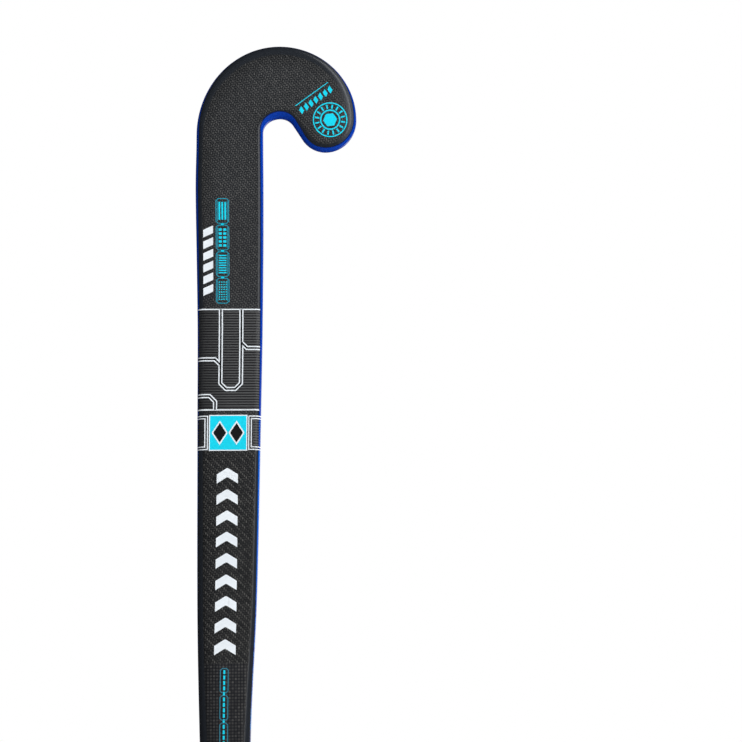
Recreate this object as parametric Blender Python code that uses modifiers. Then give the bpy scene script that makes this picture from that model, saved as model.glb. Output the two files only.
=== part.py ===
"""Indoor hockey stick, built as its separate pieces.

Metres. The stick stands on its butt, with the hook up: +Z runs up the straight
handle, the flat playing face looks to -Y, the rounded back to +Y, and the toe of
the hook points to +X. The origin is the centre of the butt cap's flat end.

The body is a D-shaped profile, flat in front and rounded behind, that follows a
spine up the shaft and round the hook. A station joins a point on the spine to a
point on the outline, and carries one half of the profile from the face, over the
edge, to the crown of the back.
"""

import math
from collections import namedtuple

import bmesh
import bpy
from mathutils import Vector

MM = 0.001

# Whole stick
LENGTH = 927 * MM
BEND_START = 420 * MM      # from the head's top: the shaft is straight below this
HEAD_FLAT = 90 * MM        # from the head's top: the face is one plane above this
BEND_CURVATURE = 0.47      # per metre, a bow of about 24 mm off the straight line

# Hook, in the plane of the face
HOOK_X = 39.8 * MM         # middle of the crook, from the handle's axis
HEEL_DROP = 63.9 * MM      # centre of the heel's curve, below the head's top
TOE_DROP = 52.3 * MM       # centre of the toe's curve, below the head's top
TOE_X = 72.15 * MM
TOE_RADIUS = 22.3 * MM
TOE_UNDER_RADIUS = 20.1 * MM
CROOK_DROP = 61.7 * MM
CROOK_RADIUS = 10.8 * MM

# Shaft sections by distance from the head's top
# rim is the depth of the widest line behind the face; a fullness of 2 is an
# elliptic back, and more is squarer
Section = namedtuple("Section", "half_width centre_x thickness rim corner fullness")
HANDLE = Section(15.0 * MM, 0.0, 26.0 * MM, 13.0 * MM, 15.0 * MM, 2.0)
SHAFT = (
    (64 * MM, Section(23.85 * MM, 3.55 * MM, 20.0 * MM, 5.0 * MM, 5.0 * MM, 2.3)),
    (100 * MM, Section(24.25 * MM, 3.25 * MM, 20.0 * MM, 5.0 * MM, 5.0 * MM, 2.3)),
    (150 * MM, Section(23.8 * MM, 3.5 * MM, 20.0 * MM, 5.0 * MM, 5.0 * MM, 2.3)),
    (190 * MM, Section(23.25 * MM, 3.55 * MM, 20.0 * MM, 5.0 * MM, 5.0 * MM, 2.3)),
    (270 * MM, Section(22.4 * MM, 2.75 * MM, 20.2 * MM, 5.2 * MM, 5.1 * MM, 2.28)),
    (390 * MM, Section(20.8 * MM, 1.4 * MM, 20.6 * MM, 5.6 * MM, 5.4 * MM, 2.25)),
    (475 * MM, Section(17.9 * MM, 0.2 * MM, 22.2 * MM, 7.2 * MM, 6.6 * MM, 2.15)),
    (545 * MM, Section(15.9 * MM, 0.1 * MM, 24.8 * MM, 10.6 * MM, 10.4 * MM, 2.05)),
    (604 * MM, HANDLE),
    (LENGTH, HANDLE),
)
SHAFT_DROPS, SHAFT_SECTIONS = zip(*SHAFT)

# Laminates and what lies inside them
GAP = 0.3 * MM
SHELL = 1.4 * MM
SPLIT = math.radians(42)   # where face and back shells meet on the front corner
LEAST_CORNER = 0.6 * MM    # the corner's rounding far inside the surface
PLY = 1.0 * MM
PLY_MARGIN = 4.0 * MM
TUBE_WALL = 0.9 * MM
WEB = 1.0 * MM
BLADDER_WALL = 0.4 * MM
BLADDER_CLEARANCE = 5 * MM  # from the bladder's closed end to the tube's top
TUBE_TOP_DROP = 136 * MM   # the head core ends and the tubes start here
TUBE_INSET = SHELL + 2 * GAP
TUBE_BORE = 2 * GAP + TUBE_WALL  # from the web to what fills the tube

# Handle
CAP_DISC = 5.0 * MM
CAP_OVERHANG = 3.2 * MM
CAP_ROUNDING = 1.2 * MM
LOW = CAP_DISC + GAP       # where all that stands on the cap starts
PRONG = 18 * MM
PRONG_ROOT = 1 * MM        # how far a prong reaches into the disc
PLUG_TOP = 100 * MM
CUSHION = 1.0 * MM
GRIP_TOP = 300 * MM
GRIP_THICK = 1.5 * MM
GRIP_PITCH = 24.6 * MM
GRIP_WIDTH = 24.0 * MM
GRIP_LEAD = 3 * MM         # height of the strip where its level cut starts
GRIP_BEVEL = 0.09          # share of the strip's width that slopes at each edge
BAND_TOP = 322 * MM
BAND_OVERLAP = 12 * MM
BAND_STEP = 3 * MM         # height over which the band steps down to the shaft
BAND_THICK = 0.7 * MM

# Mesh detail: segments round the front corner, then round the back
FINE = (4, 7)
PLAIN = (2, 4)
FACE_EDGE = (2, 0)
SHAFT_STEP = 40 * MM
HEEL_STEPS = 12
TOE_STEPS = 10
FAN_STEPS = 16
GRIP_STEPS = 24
BAND_STEPS = 32
CAP_SIDES = 40
WELD = 0.01 * MM

# Linear colour and roughness
BLACK_LAMINATE = ((0.035, 0.037, 0.040), 0.45)
BLUE_LAMINATE = ((0.0, 0.055, 0.40), 0.28)
INNER_LAMINATE = ((0.03, 0.03, 0.032), 0.55)
CORE_FOAM = ((0.75, 0.68, 0.48), 0.8)
PLUG_FOAM = ((0.80, 0.74, 0.55), 0.9)
CUSHION_FOAM = ((0.10, 0.10, 0.11), 0.9)
ARAMID = ((0.62, 0.50, 0.12), 0.6)
NYLON = ((0.80, 0.82, 0.78), 0.4)
GRIP_POLYMER = ((0.02, 0.02, 0.022), 0.75)
BAND_VINYL = ((0.02, 0.05, 0.30), 0.4)
CAP_RUBBER = ((0.02, 0.02, 0.022), 0.6)

Station = namedtuple("Station", "spine edge section")


def smooth(x, knots, values):
    """Cubic through the knots, level at both ends and wherever a value repeats."""
    last = len(knots) - 1
    x = min(max(x, knots[0]), knots[last])
    i = max(k for k in range(last) if knots[k] <= x)
    rise = [(values[k + 1] - values[k]) / (knots[k + 1] - knots[k]) for k in range(last)]

    def slope(k):
        if k in (0, last) or rise[k - 1] * rise[k] <= 0:
            return 0.0
        return 2 * rise[k - 1] * rise[k] / (rise[k - 1] + rise[k])

    span = knots[i + 1] - knots[i]
    s = (x - knots[i]) / span
    ease = s * s * (3 - 2 * s)
    return (
        values[i] * (1 - ease)
        + values[i + 1] * ease
        + span * s * (1 - s) * (slope(i) * (1 - s) - slope(i + 1) * s)
    )


def section_at(z):
    """Section of the shaft at height z; the hook keeps that of the shaft's top."""
    drop = LENGTH - z
    columns = zip(*SHAFT_SECTIONS)
    return Section(*(smooth(drop, SHAFT_DROPS, values) for values in columns))


def lean(z):
    """How far the stick's middle plane comes forward of the handle's axis."""
    drop = LENGTH - z
    bent = max(0.0, BEND_START - max(drop, HEAD_FLAT))
    straight = max(0.0, HEAD_FLAT - drop)
    return BEND_CURVATURE * (bent * bent / 2 + bent * straight)


def on_arc(centre, across, up, degrees):
    """Point of an ellipse at an angle from +X, in the plane of the face."""
    angle = math.radians(degrees)
    return Vector((centre.x + across * math.cos(angle), centre.y + up * math.sin(angle)))


def hook_stations(section):
    """Stations round the hook, from the shaft's heel side to its toe side.

    Returns the heel quarter, the quarter over to the toe, the fan round the toe,
    and the two quarters back along the crook, as one list.
    """
    heel = Vector((HOOK_X, LENGTH - HEEL_DROP))
    toe = Vector((HOOK_X, LENGTH - TOE_DROP))
    toe_end = Vector((TOE_X, LENGTH - TOE_DROP))
    crook = Vector((HOOK_X, LENGTH - CROOK_DROP))
    under = Vector((TOE_X, LENGTH - TOE_DROP - TOE_RADIUS + TOE_UNDER_RADIUS))
    band = (CROOK_DROP - CROOK_RADIUS) / 2
    reach = HOOK_X - section.centre_x
    outer_reach = reach + section.half_width
    toe_reach = TOE_X - HOOK_X

    # The straight flank under the toe touches both the crook and the toe's curve
    across = under - crook
    flank_angle = math.degrees(
        math.atan2(across.y, across.x)
        + math.acos((CROOK_RADIUS + TOE_UNDER_RADIUS) / across.length)
    )
    flank_low = on_arc(under, TOE_UNDER_RADIUS, TOE_UNDER_RADIUS, flank_angle + 180)
    flank_high = on_arc(crook, CROOK_RADIUS, CROOK_RADIUS, flank_angle)
    flank = (flank_high - flank_low).length
    crook_arc = CROOK_RADIUS * math.radians(90 - flank_angle)

    def inner_toe(share):
        run = share * (flank + crook_arc)
        if run < flank:
            return flank_low.lerp(flank_high, run / flank)
        turned = math.degrees((run - flank) / CROOK_RADIUS)
        return on_arc(crook, CROOK_RADIUS, CROOK_RADIUS, flank_angle + turned)

    def heel_spine(share):
        return on_arc(heel, reach, HEEL_DROP - band, 180 - 90 * share)

    def toe_spine(share):
        return on_arc(toe, toe_reach, TOE_DROP - band, 90 - 90 * share)

    stations = []
    for k in range(HEEL_STEPS):
        share = k / HEEL_STEPS
        edge = on_arc(heel, outer_reach, HEEL_DROP, 180 - 90 * share)
        stations.append(Station(heel_spine(share), edge, section))
    for k in range(TOE_STEPS):
        share = k / TOE_STEPS
        edge = on_arc(toe, toe_reach + TOE_RADIUS, TOE_DROP, 90 - 90 * share)
        stations.append(Station(toe_spine(share), edge, section))
    for k in range(FAN_STEPS // 2):
        angle = -90 * k / (FAN_STEPS // 2)
        edge = on_arc(toe_end, TOE_RADIUS, TOE_RADIUS, angle)
        stations.append(Station(toe_end, edge, section))
    for k in range(FAN_STEPS // 2):
        angle = -90 + (flank_angle - 90) * k / (FAN_STEPS // 2)
        edge = on_arc(under, TOE_UNDER_RADIUS, TOE_UNDER_RADIUS, angle)
        stations.append(Station(toe_end, edge, section))
    for k in range(TOE_STEPS):
        share = k / TOE_STEPS
        stations.append(Station(toe_spine(1 - share), inner_toe(share), section))
    for k in range(HEEL_STEPS + 1):
        share = k / HEEL_STEPS
        edge = on_arc(crook, HOOK_X - section.centre_x - section.half_width,
                      CROOK_RADIUS, 90 + 90 * share)
        stations.append(Station(heel_spine(1 - share), edge, section))
    return stations


def shaft_heights(low, high):
    """Shared heights between two ends, so that nested pieces keep parallel facets."""
    top = LENGTH - HEEL_DROP
    count = round(top / SHAFT_STEP)
    shared = [top * k / count for k in range(count + 1)]
    inside = [z for z in shared if low + MM < z < high - MM]
    return [low] + inside + [high]


def side_station(z, side):
    """Station across the shaft, to its heel edge (side -1) or its toe edge (+1)."""
    section = section_at(z)
    spine = Vector((section.centre_x, z))
    edge = Vector((section.centre_x + side * section.half_width, z))
    return Station(spine, edge, section)


def body_stations(low):
    """Stations from the heel side at height low, round the hook, and back down."""
    top = LENGTH - HEEL_DROP
    heights = shaft_heights(low, top)
    rising = [side_station(z, -1) for z in heights[:-1]]
    falling = [side_station(z, 1) for z in reversed(heights[:-1])]
    return rising + hook_stations(section_at(top)) + falling


def corner_at(section, inset):
    """Rounding of the front corner at a depth below the surface."""
    return max(section.corner - inset, LEAST_CORNER)


def face_profile(radius, section, inset, detail, stop=math.pi / 2):
    """Half profile from the spine to an angle on the front corner, as (out, depth)."""
    edge = radius - inset
    corner = corner_at(section, inset)
    drop = section.rim - inset
    points = [(0.0, inset), (edge - corner, inset)]
    for k in range(1, detail[0] + 1):
        angle = stop * k / detail[0]
        out = edge - corner * (1 - math.sin(angle))
        points.append((out, inset + drop * (1 - math.cos(angle))))
    return points


def back_profile(radius, section, inset, detail, start=math.pi / 2):
    """Half profile from an angle on the front corner to the crown of the back."""
    edge = radius - inset
    corner = corner_at(section, inset)
    drop = section.rim - inset
    rise = section.thickness - inset - section.rim
    points = []
    if start < math.pi / 2:
        steps = max(1, detail[0] // 2)
        for k in range(steps):
            angle = start + (math.pi / 2 - start) * k / steps
            out = edge - corner * (1 - math.sin(angle))
            points.append((out, inset + drop * (1 - math.cos(angle))))
    power = 2 / section.fullness
    for k in range(detail[1]):
        angle = math.pi / 2 * k / detail[1]
        out = edge * math.cos(angle) ** power
        points.append((out, section.rim + rise * math.sin(angle) ** power))
    points.append((0.0, section.thickness - inset))
    return points


def whole_profile(radius, section, inset, detail):
    """Half profile from the face, over the edge, to the crown."""
    front = face_profile(radius, section, inset, detail)
    return front[:-1] + back_profile(radius, section, inset, detail)


def place(station, out, depth):
    """World point at a distance out from the spine and a depth behind the face."""
    reach = station.edge - station.spine
    flat = station.spine + reach * (out / reach.length)
    y = depth - station.section.thickness / 2 - lean(flat.y)
    return Vector((flat.x, y, flat.y))


def skin_points(stations, profile):
    """Grid of world points: one row for each station."""
    rows = []
    for station in stations:
        radius = (station.edge - station.spine).length
        half = profile(radius, station.section)
        rows.append([place(station, out, depth) for out, depth in half])
    return rows


def add_grid(mesh, rows, closed=False):
    """Quads between rows of points; returns the rows of vertices."""
    grid = [[mesh.verts.new(point) for point in row] for row in rows]
    for first, second in zip(grid, grid[1:]):
        pairs = list(zip(first, second))
        for (a, b), (c, d) in zip(pairs, pairs[1:]):
            mesh.faces.new((a, b, d, c))
        if closed:
            mesh.faces.new((pairs[-1][0], pairs[-1][1], pairs[0][1], pairs[0][0]))
    return grid


def join_edges(mesh, first, second):
    """Strip of quads between two runs of vertices of equal length."""
    pairs = list(zip(first, second))
    for (a, b), (c, d) in zip(pairs, pairs[1:]):
        mesh.faces.new((a, b, d, c))


def finish(name, mesh, look, sharp=40):
    """Weld, close and turn outwards a mesh, and make it a shaded, coloured object."""
    bmesh.ops.remove_doubles(mesh, verts=mesh.verts, dist=WELD)
    bmesh.ops.dissolve_degenerate(mesh, edges=mesh.edges, dist=WELD)
    open_edges = [edge for edge in mesh.edges if edge.is_boundary]
    bmesh.ops.holes_fill(mesh, edges=open_edges)
    bmesh.ops.recalc_face_normals(mesh, faces=mesh.faces)
    data = bpy.data.meshes.new(name)
    mesh.to_mesh(data)
    mesh.free()
    data.shade_smooth()
    data.set_sharp_from_angle(angle=math.radians(sharp))
    data.materials.append(material(name, *look))
    return bpy.data.objects.new(name, data)


def material(name, colour, roughness):
    """Principled material in one colour; no piece of the stick is metal."""
    made = bpy.data.materials.new(name + "_finish")
    made.use_nodes = True
    shader = made.node_tree.nodes["Principled BSDF"]
    shader.inputs["Base Color"].default_value = (*colour, 1.0)
    shader.inputs["Roughness"].default_value = roughness
    shader.inputs["Metallic"].default_value = 0.0
    return made


def thin_skin(name, stations, profile_at, look):
    """Laminate between an outer and an inner skin, closed along all its edges."""
    mesh = bmesh.new()
    outer = add_grid(mesh, skin_points(stations, profile_at(0.0)))
    inner = add_grid(mesh, skin_points(stations, profile_at(SHELL)))
    for side in (0, -1):
        edge_outer = [row[side] for row in outer]
        edge_inner = [row[side] for row in inner]
        if (edge_outer[0].co - outer[-1][side].co).length > GAP:
            join_edges(mesh, edge_outer, edge_inner)
    join_edges(mesh, outer[0], inner[0])
    join_edges(mesh, outer[-1], inner[-1])
    return finish(name, mesh, look)


def split_angle(section, inset, side):
    """Angle on the front corner where a shell ends, half a gap from the split."""
    return SPLIT + side * GAP / 2 / corner_at(section, inset)


def make_face_shell():
    """Flat front laminate, with its edges turned over the front corner."""
    def profile_at(inset):
        return lambda radius, section: face_profile(
            radius, section, inset, FACE_EDGE, split_angle(section, inset, -1))
    return thin_skin("face_shell", body_stations(LOW), profile_at, BLACK_LAMINATE)


def make_back_shell():
    """Laminate round the back and both edges."""
    def profile_at(inset):
        return lambda radius, section: back_profile(
            radius, section, inset, FINE, split_angle(section, inset, 1))
    return thin_skin("back_shell", body_stations(LOW), profile_at, BLUE_LAMINATE)


def make_head_core():
    """Solid core of the hook, inside the shells and behind the reinforcing ply."""
    inset = SHELL + GAP
    behind = inset + PLY + GAP

    def profile(radius, section):
        whole = whole_profile(radius, section, inset, PLAIN)
        return [(out, max(depth, behind)) for out, depth in whole]

    mesh = bmesh.new()
    add_grid(mesh, skin_points(body_stations(LENGTH - TUBE_TOP_DROP + GAP), profile))
    return finish("head_core", mesh, CORE_FOAM)


def make_hook_face_ply():
    """Thin reinforcing ply behind the face of the hook."""
    front = SHELL + GAP

    def profile(radius, section):
        out = radius - PLY_MARGIN
        return [(0.0, front), (out, front), (out, front + PLY), (0.0, front + PLY)]

    mesh = bmesh.new()
    add_grid(mesh, skin_points(body_stations(LENGTH - TUBE_TOP_DROP + GAP), profile))
    return finish("hook_face_ply", mesh, ARAMID)


def half_ring(z, side, inset, wall_from_web):
    """Closed half profile on one side of the shaft, flat towards the centre web."""
    station = side_station(z, side)
    half_width = station.section.half_width
    start = WEB / 2 + wall_from_web
    room = (half_width - inset - start) / (half_width - inset)
    whole = whole_profile(half_width, station.section, inset, PLAIN)
    return [place(station, start + out * room, depth) for out, depth in whole]


def make_tube(name, side, low, top, inset, from_web, wall, look, closed_top=False):
    """Tube along one side of the shaft, open at its ends or closed at its top."""
    mesh = bmesh.new()
    heights = shaft_heights(low, top)
    outer = add_grid(mesh, [half_ring(z, side, inset, from_web) for z in heights], True)
    if closed_top:
        heights = shaft_heights(low, top - wall)
    inner = add_grid(mesh, [half_ring(z, side, inset + wall, from_web + wall)
                            for z in heights], True)
    join_edges(mesh, outer[0] + outer[0][:1], inner[0] + inner[0][:1])
    if not closed_top:
        join_edges(mesh, outer[-1] + outer[-1][:1], inner[-1] + inner[-1][:1])
    return finish(name, mesh, look)


def make_bar(name, side, low, top, inset, from_web, look):
    """Solid bar that fills one side of the shaft between two heights."""
    mesh = bmesh.new()
    heights = shaft_heights(low, top)
    add_grid(mesh, [half_ring(z, side, inset, from_web) for z in heights], True)
    return finish(name, mesh, look)


def make_centre_web():
    """Flat rib between the two tubes."""
    mesh = bmesh.new()
    rows = []
    for z in shaft_heights(LOW, LENGTH - TUBE_TOP_DROP):
        station = side_station(z, 1)
        front, deep = TUBE_INSET, station.section.thickness - TUBE_INSET
        rows.append([place(station, out, depth) for out, depth in (
            (-WEB / 2, front), (WEB / 2, front), (WEB / 2, deep), (-WEB / 2, deep))])
    add_grid(mesh, rows, True)
    return finish("centre_web", mesh, INNER_LAMINATE)


def handle_point(z, angle, stand_off):
    """Point off the handle's oval surface, by angle round the axis."""
    section = section_at(z)
    wide = section.half_width + stand_off
    deep = section.thickness / 2 + stand_off
    return Vector((section.centre_x + wide * math.cos(angle), deep * math.sin(angle), z))


def make_sleeve(name, rings, look, steps):
    """Sleeve round the handle from a closed list of (height, distance off it)."""
    mesh = bmesh.new()
    rows = [[handle_point(z, math.tau * k / steps, stand_off) for k in range(steps)]
            for z, stand_off in rings]
    add_grid(mesh, rows + rows[:1], True)
    return finish(name, mesh, look)


def make_handle_cushion():
    """Foam sleeve between the handle and the grip."""
    levels = shaft_heights(LOW, GRIP_TOP)
    inner = [(z, GAP) for z in levels]
    outer = [(z, GAP + CUSHION) for z in reversed(levels)]
    return make_sleeve("handle_cushion", inner + outer, CUSHION_FOAM, GRIP_STEPS)


def grip_span(turn):
    """Lower and upper edge of the grip strip after some turns, cut level at both ends."""
    upper = LOW + GRIP_PITCH * turn
    return max(LOW, upper - GRIP_WIDTH), min(GRIP_TOP, upper)


def make_grip_tape():
    """One strip wound up the handle, its start and finish cut level."""
    first = GRIP_LEAD / GRIP_PITCH
    last = (GRIP_TOP - LOW + GRIP_WIDTH - GRIP_LEAD) / GRIP_PITCH
    count = math.ceil((last - first) * GRIP_STEPS)
    inner = 2 * GAP + CUSHION
    outer = inner + GRIP_THICK
    rows = []
    for k in range(count + 1):
        turn = first + (last - first) * k / count
        lower, upper = grip_span(turn)
        angle = math.tau * turn
        bevel = GRIP_BEVEL * (upper - lower)
        rows.append([handle_point(z, angle, off) for z, off in (
            (lower, inner), (lower + bevel, outer), (upper - bevel, outer), (upper, inner))])
    mesh = bmesh.new()
    add_grid(mesh, rows, True)
    report_grip_gap(rows)
    return finish("grip_tape", mesh, GRIP_POLYMER)


def report_grip_gap(rows):
    """Print the least distance from the strip's upper edge to the next turn's lower edge."""
    uppers = [point for row in rows for point in row[2:]]
    lowers = [point for row in rows for point in row[:2]]
    least = min((a - b).length for a in uppers for b in lowers if b.z > a.z)
    turns = (len(rows) - 1) / GRIP_STEPS
    print(f"grip_tape: {turns:.1f} turns, least gap between turns {least / MM:.2f} mm")


def make_finishing_tape():
    """Band that laps over the grip's upper end and down on to the shaft."""
    over = 2 * GAP + CUSHION + GRIP_THICK + GAP
    under = GAP
    overlap = GRIP_TOP - BAND_OVERLAP
    step = GRIP_TOP + GAP
    inner = [(overlap, over), (step, over), (step + BAND_STEP, under), (BAND_TOP, under)]
    outer = [(overlap, over + BAND_THICK), (step, over + BAND_THICK),
             (step + BAND_STEP + BAND_THICK / 2, under + BAND_THICK),
             (BAND_TOP, under + BAND_THICK)]
    return make_sleeve("finishing_tape", inner + outer[::-1], BAND_VINYL, BAND_STEPS)


def make_butt_cap(tools):
    """End disc with a prong up each tube."""
    bpy.ops.mesh.primitive_cylinder_add(vertices=CAP_SIDES, radius=1, depth=CAP_DISC,
                                        location=(0, 0, CAP_DISC / 2))
    disc = bpy.context.object
    disc.name = "butt_cap"
    disc.data.name = "butt_cap"
    wide = HANDLE.half_width + CAP_OVERHANG
    deep = HANDLE.thickness / 2 + CAP_OVERHANG
    disc.data.transform(disc.matrix_world)
    disc.matrix_world.identity()
    for vertex in disc.data.vertices:
        vertex.co.x *= wide
        vertex.co.y *= deep
    rounding = disc.modifiers.new("round_edge", "BEVEL")
    rounding.width = CAP_ROUNDING
    rounding.segments = 2
    rounding.limit_method = "ANGLE"
    for side in (-1, 1):
        prong = make_bar("prong_tool", side, CAP_DISC - PRONG_ROOT, CAP_DISC + PRONG,
                         TUBE_INSET + TUBE_WALL + GAP, TUBE_BORE, CAP_RUBBER)
        prong.hide_render = True
        prong.display_type = "WIRE"
        tools.objects.link(prong)
        union = disc.modifiers.new("prong", "BOOLEAN")
        union.operation = "UNION"
        union.solver = "EXACT"
        union.object = prong
    disc.data.materials.append(material("butt_cap", *CAP_RUBBER))
    return disc


def clear_scene():
    """Remove what a new file starts with."""
    for thing in list(bpy.data.objects):
        bpy.data.objects.remove(thing, do_unlink=True)


def main():
    """Make every piece and put it in the stick's collection."""
    clear_scene()
    parts = bpy.data.collections.new("indoor_hockey_stick")
    tools = bpy.data.collections.new("tools")
    bpy.context.scene.collection.children.link(parts)
    bpy.context.scene.collection.children.link(tools)

    tube_top = LENGTH - TUBE_TOP_DROP
    bore_inset = TUBE_INSET + TUBE_WALL + GAP
    pieces = [
        make_face_shell(),
        make_back_shell(),
        make_head_core(),
        make_hook_face_ply(),
        make_centre_web(),
        make_handle_cushion(),
        make_grip_tape(),
        make_finishing_tape(),
    ]
    for name, side in (("heel", -1), ("toe", 1)):
        pieces.append(make_tube(name + "_tube", side, LOW, tube_top,
                                TUBE_INSET, GAP, TUBE_WALL, INNER_LAMINATE))
        pieces.append(make_tube(name + "_bladder", side, PLUG_TOP + GAP,
                                tube_top - BLADDER_CLEARANCE, bore_inset, TUBE_BORE,
                                BLADDER_WALL, NYLON, closed_top=True))
        pieces.append(make_bar(name + "_plug", side, LOW + PRONG, PLUG_TOP,
                               bore_inset, TUBE_BORE, PLUG_FOAM))
    for piece in pieces:
        parts.objects.link(piece)
    cap = make_butt_cap(tools)
    for holder in list(cap.users_collection):
        holder.objects.unlink(cap)
    parts.objects.link(cap)


if __name__ == "__main__":
    main()
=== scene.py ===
"""Looks of the indoor hockey stick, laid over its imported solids.

Metres, in the frame of the solids: +Z runs up the handle, the flat face looks to
-Y, the rounded back to +Y, and the toe of the hook points to +X. Prints are drawn
flat, in millimetres across and up, and are then laid on to the surface.
"""

import bisect
import logging
import math
from collections.abc import Callable, Iterable, Sequence
from dataclasses import dataclass, field
from enum import Enum
from functools import partial
from itertools import accumulate

import bmesh
import bpy
import numpy as np
from mathutils import Matrix, Vector
from mathutils.bvhtree import BVHTree


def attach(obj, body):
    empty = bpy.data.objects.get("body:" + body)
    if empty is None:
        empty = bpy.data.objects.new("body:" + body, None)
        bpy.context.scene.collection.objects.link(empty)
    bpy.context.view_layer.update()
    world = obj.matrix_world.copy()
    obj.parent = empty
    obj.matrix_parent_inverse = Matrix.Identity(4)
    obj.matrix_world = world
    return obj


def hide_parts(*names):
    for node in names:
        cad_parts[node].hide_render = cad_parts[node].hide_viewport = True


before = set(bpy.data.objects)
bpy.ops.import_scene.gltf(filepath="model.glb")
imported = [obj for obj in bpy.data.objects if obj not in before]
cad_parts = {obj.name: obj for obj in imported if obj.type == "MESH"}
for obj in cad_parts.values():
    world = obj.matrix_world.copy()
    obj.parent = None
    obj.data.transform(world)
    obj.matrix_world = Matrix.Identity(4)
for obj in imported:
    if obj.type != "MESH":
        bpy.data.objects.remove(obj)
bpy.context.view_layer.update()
log = logging.getLogger("hockey_stick")

MM = 0.001
BODY = "root"
BLACK = (0.0, 0.0, 0.0, 1.0)
WHITE = (1.0, 1.0, 1.0, 1.0)

Pair = tuple[float, float]
Triple = tuple[float, float, float]
Colour = tuple[float, float, float, float]
Bound = float | Callable[[float], float]
Wrap = Callable[[float, float, float], Vector]
Looks = dict["Look", bpy.types.Material]
Socket = bpy.types.NodeSocket


class Side(Enum):
    """Side of the shaft, as the sign of its distance from the spine."""

    HEEL = -1
    TOE = 1


class Half(Enum):
    """One of the two shells, as its place in a half profile."""

    FACE = 0
    BACK = 1


class Level(Enum):
    """Height of a print off the surface, in millimetres: later coats lie higher."""

    FIRST = 0.03
    SECOND = 0.06
    THIRD = 0.19
    FOURTH = 0.22


def mm(*values: float) -> tuple[float, ...]:
    """Lengths in metres from millimetres."""
    return tuple(value * MM for value in values)


def srgb(*displayed: int) -> Colour:
    """Linear colour, with full alpha, of red, green and blue from 0 to 255."""
    parts = [value / 255 for value in displayed]
    return *(p / 12.92 if p <= 0.04045 else ((p + 0.055) / 1.055) ** 2.4 for p in parts), 1.0


def shares(count: int) -> list[float]:
    """Even shares from 0 up to, but not including, 1."""
    return [k / count for k in range(count)]


def smooth(x: float, knots: Sequence[float], values: Sequence[float]) -> float:
    """Cubic through the knots, level at both ends and wherever a value repeats.

    Args:
        x: where to read the curve.
        knots: rising places of the knots.
        values: the curve's value at each knot.

    Returns:
        The value at x, or at the nearer end outside the knots.
    """
    last = len(knots) - 1
    x = min(max(x, knots[0]), knots[last])
    i = min(bisect.bisect_right(knots, x), last) - 1
    rise = [(values[k + 1] - values[k]) / (knots[k + 1] - knots[k]) for k in range(last)]

    def slope(k: int) -> float:
        """Slope at a knot."""
        level = k in (0, last) or rise[k - 1] * rise[k] <= 0
        return 0.0 if level else 2 * rise[k - 1] * rise[k] / (rise[k - 1] + rise[k])

    span = knots[i + 1] - knots[i]
    s = (x - knots[i]) / span
    ease = s * s * (3 - 2 * s)
    bend = span * s * (1 - s) * (slope(i) * (1 - s) - slope(i + 1) * s)
    return values[i] * (1 - ease) + values[i + 1] * ease + bend


def quads(mesh: bmesh.types.BMesh, grid: Sequence[Sequence[bmesh.types.BMVert]]) -> None:
    """Fills a grid of vertices.

    Args:
        mesh: the mesh that holds them.
        grid: the rows of the grid.
    """
    for first, second in zip(grid, grid[1:]):
        for corners in zip(first, second, second[1:], first[1:]):
            mesh.faces.new(corners)


@dataclass(frozen=True)
class Section:
    """Profile across the stick: flat in front and rounded behind, in metres."""

    half_width: float
    centre_x: float
    thickness: float
    rim: float
    corner: float
    fullness: float


@dataclass(frozen=True)
class Station:
    """Half profile's place: from a point on the spine to one on the outline."""

    spine: Vector
    edge: Vector
    section: Section

    @property
    def radius(self) -> float:
        """Distance from the spine to the outline."""
        return (self.edge - self.spine).length

    @property
    def reach(self) -> Vector:
        """Direction from the spine to the outline."""
        return (self.edge - self.spine).normalized()


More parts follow.
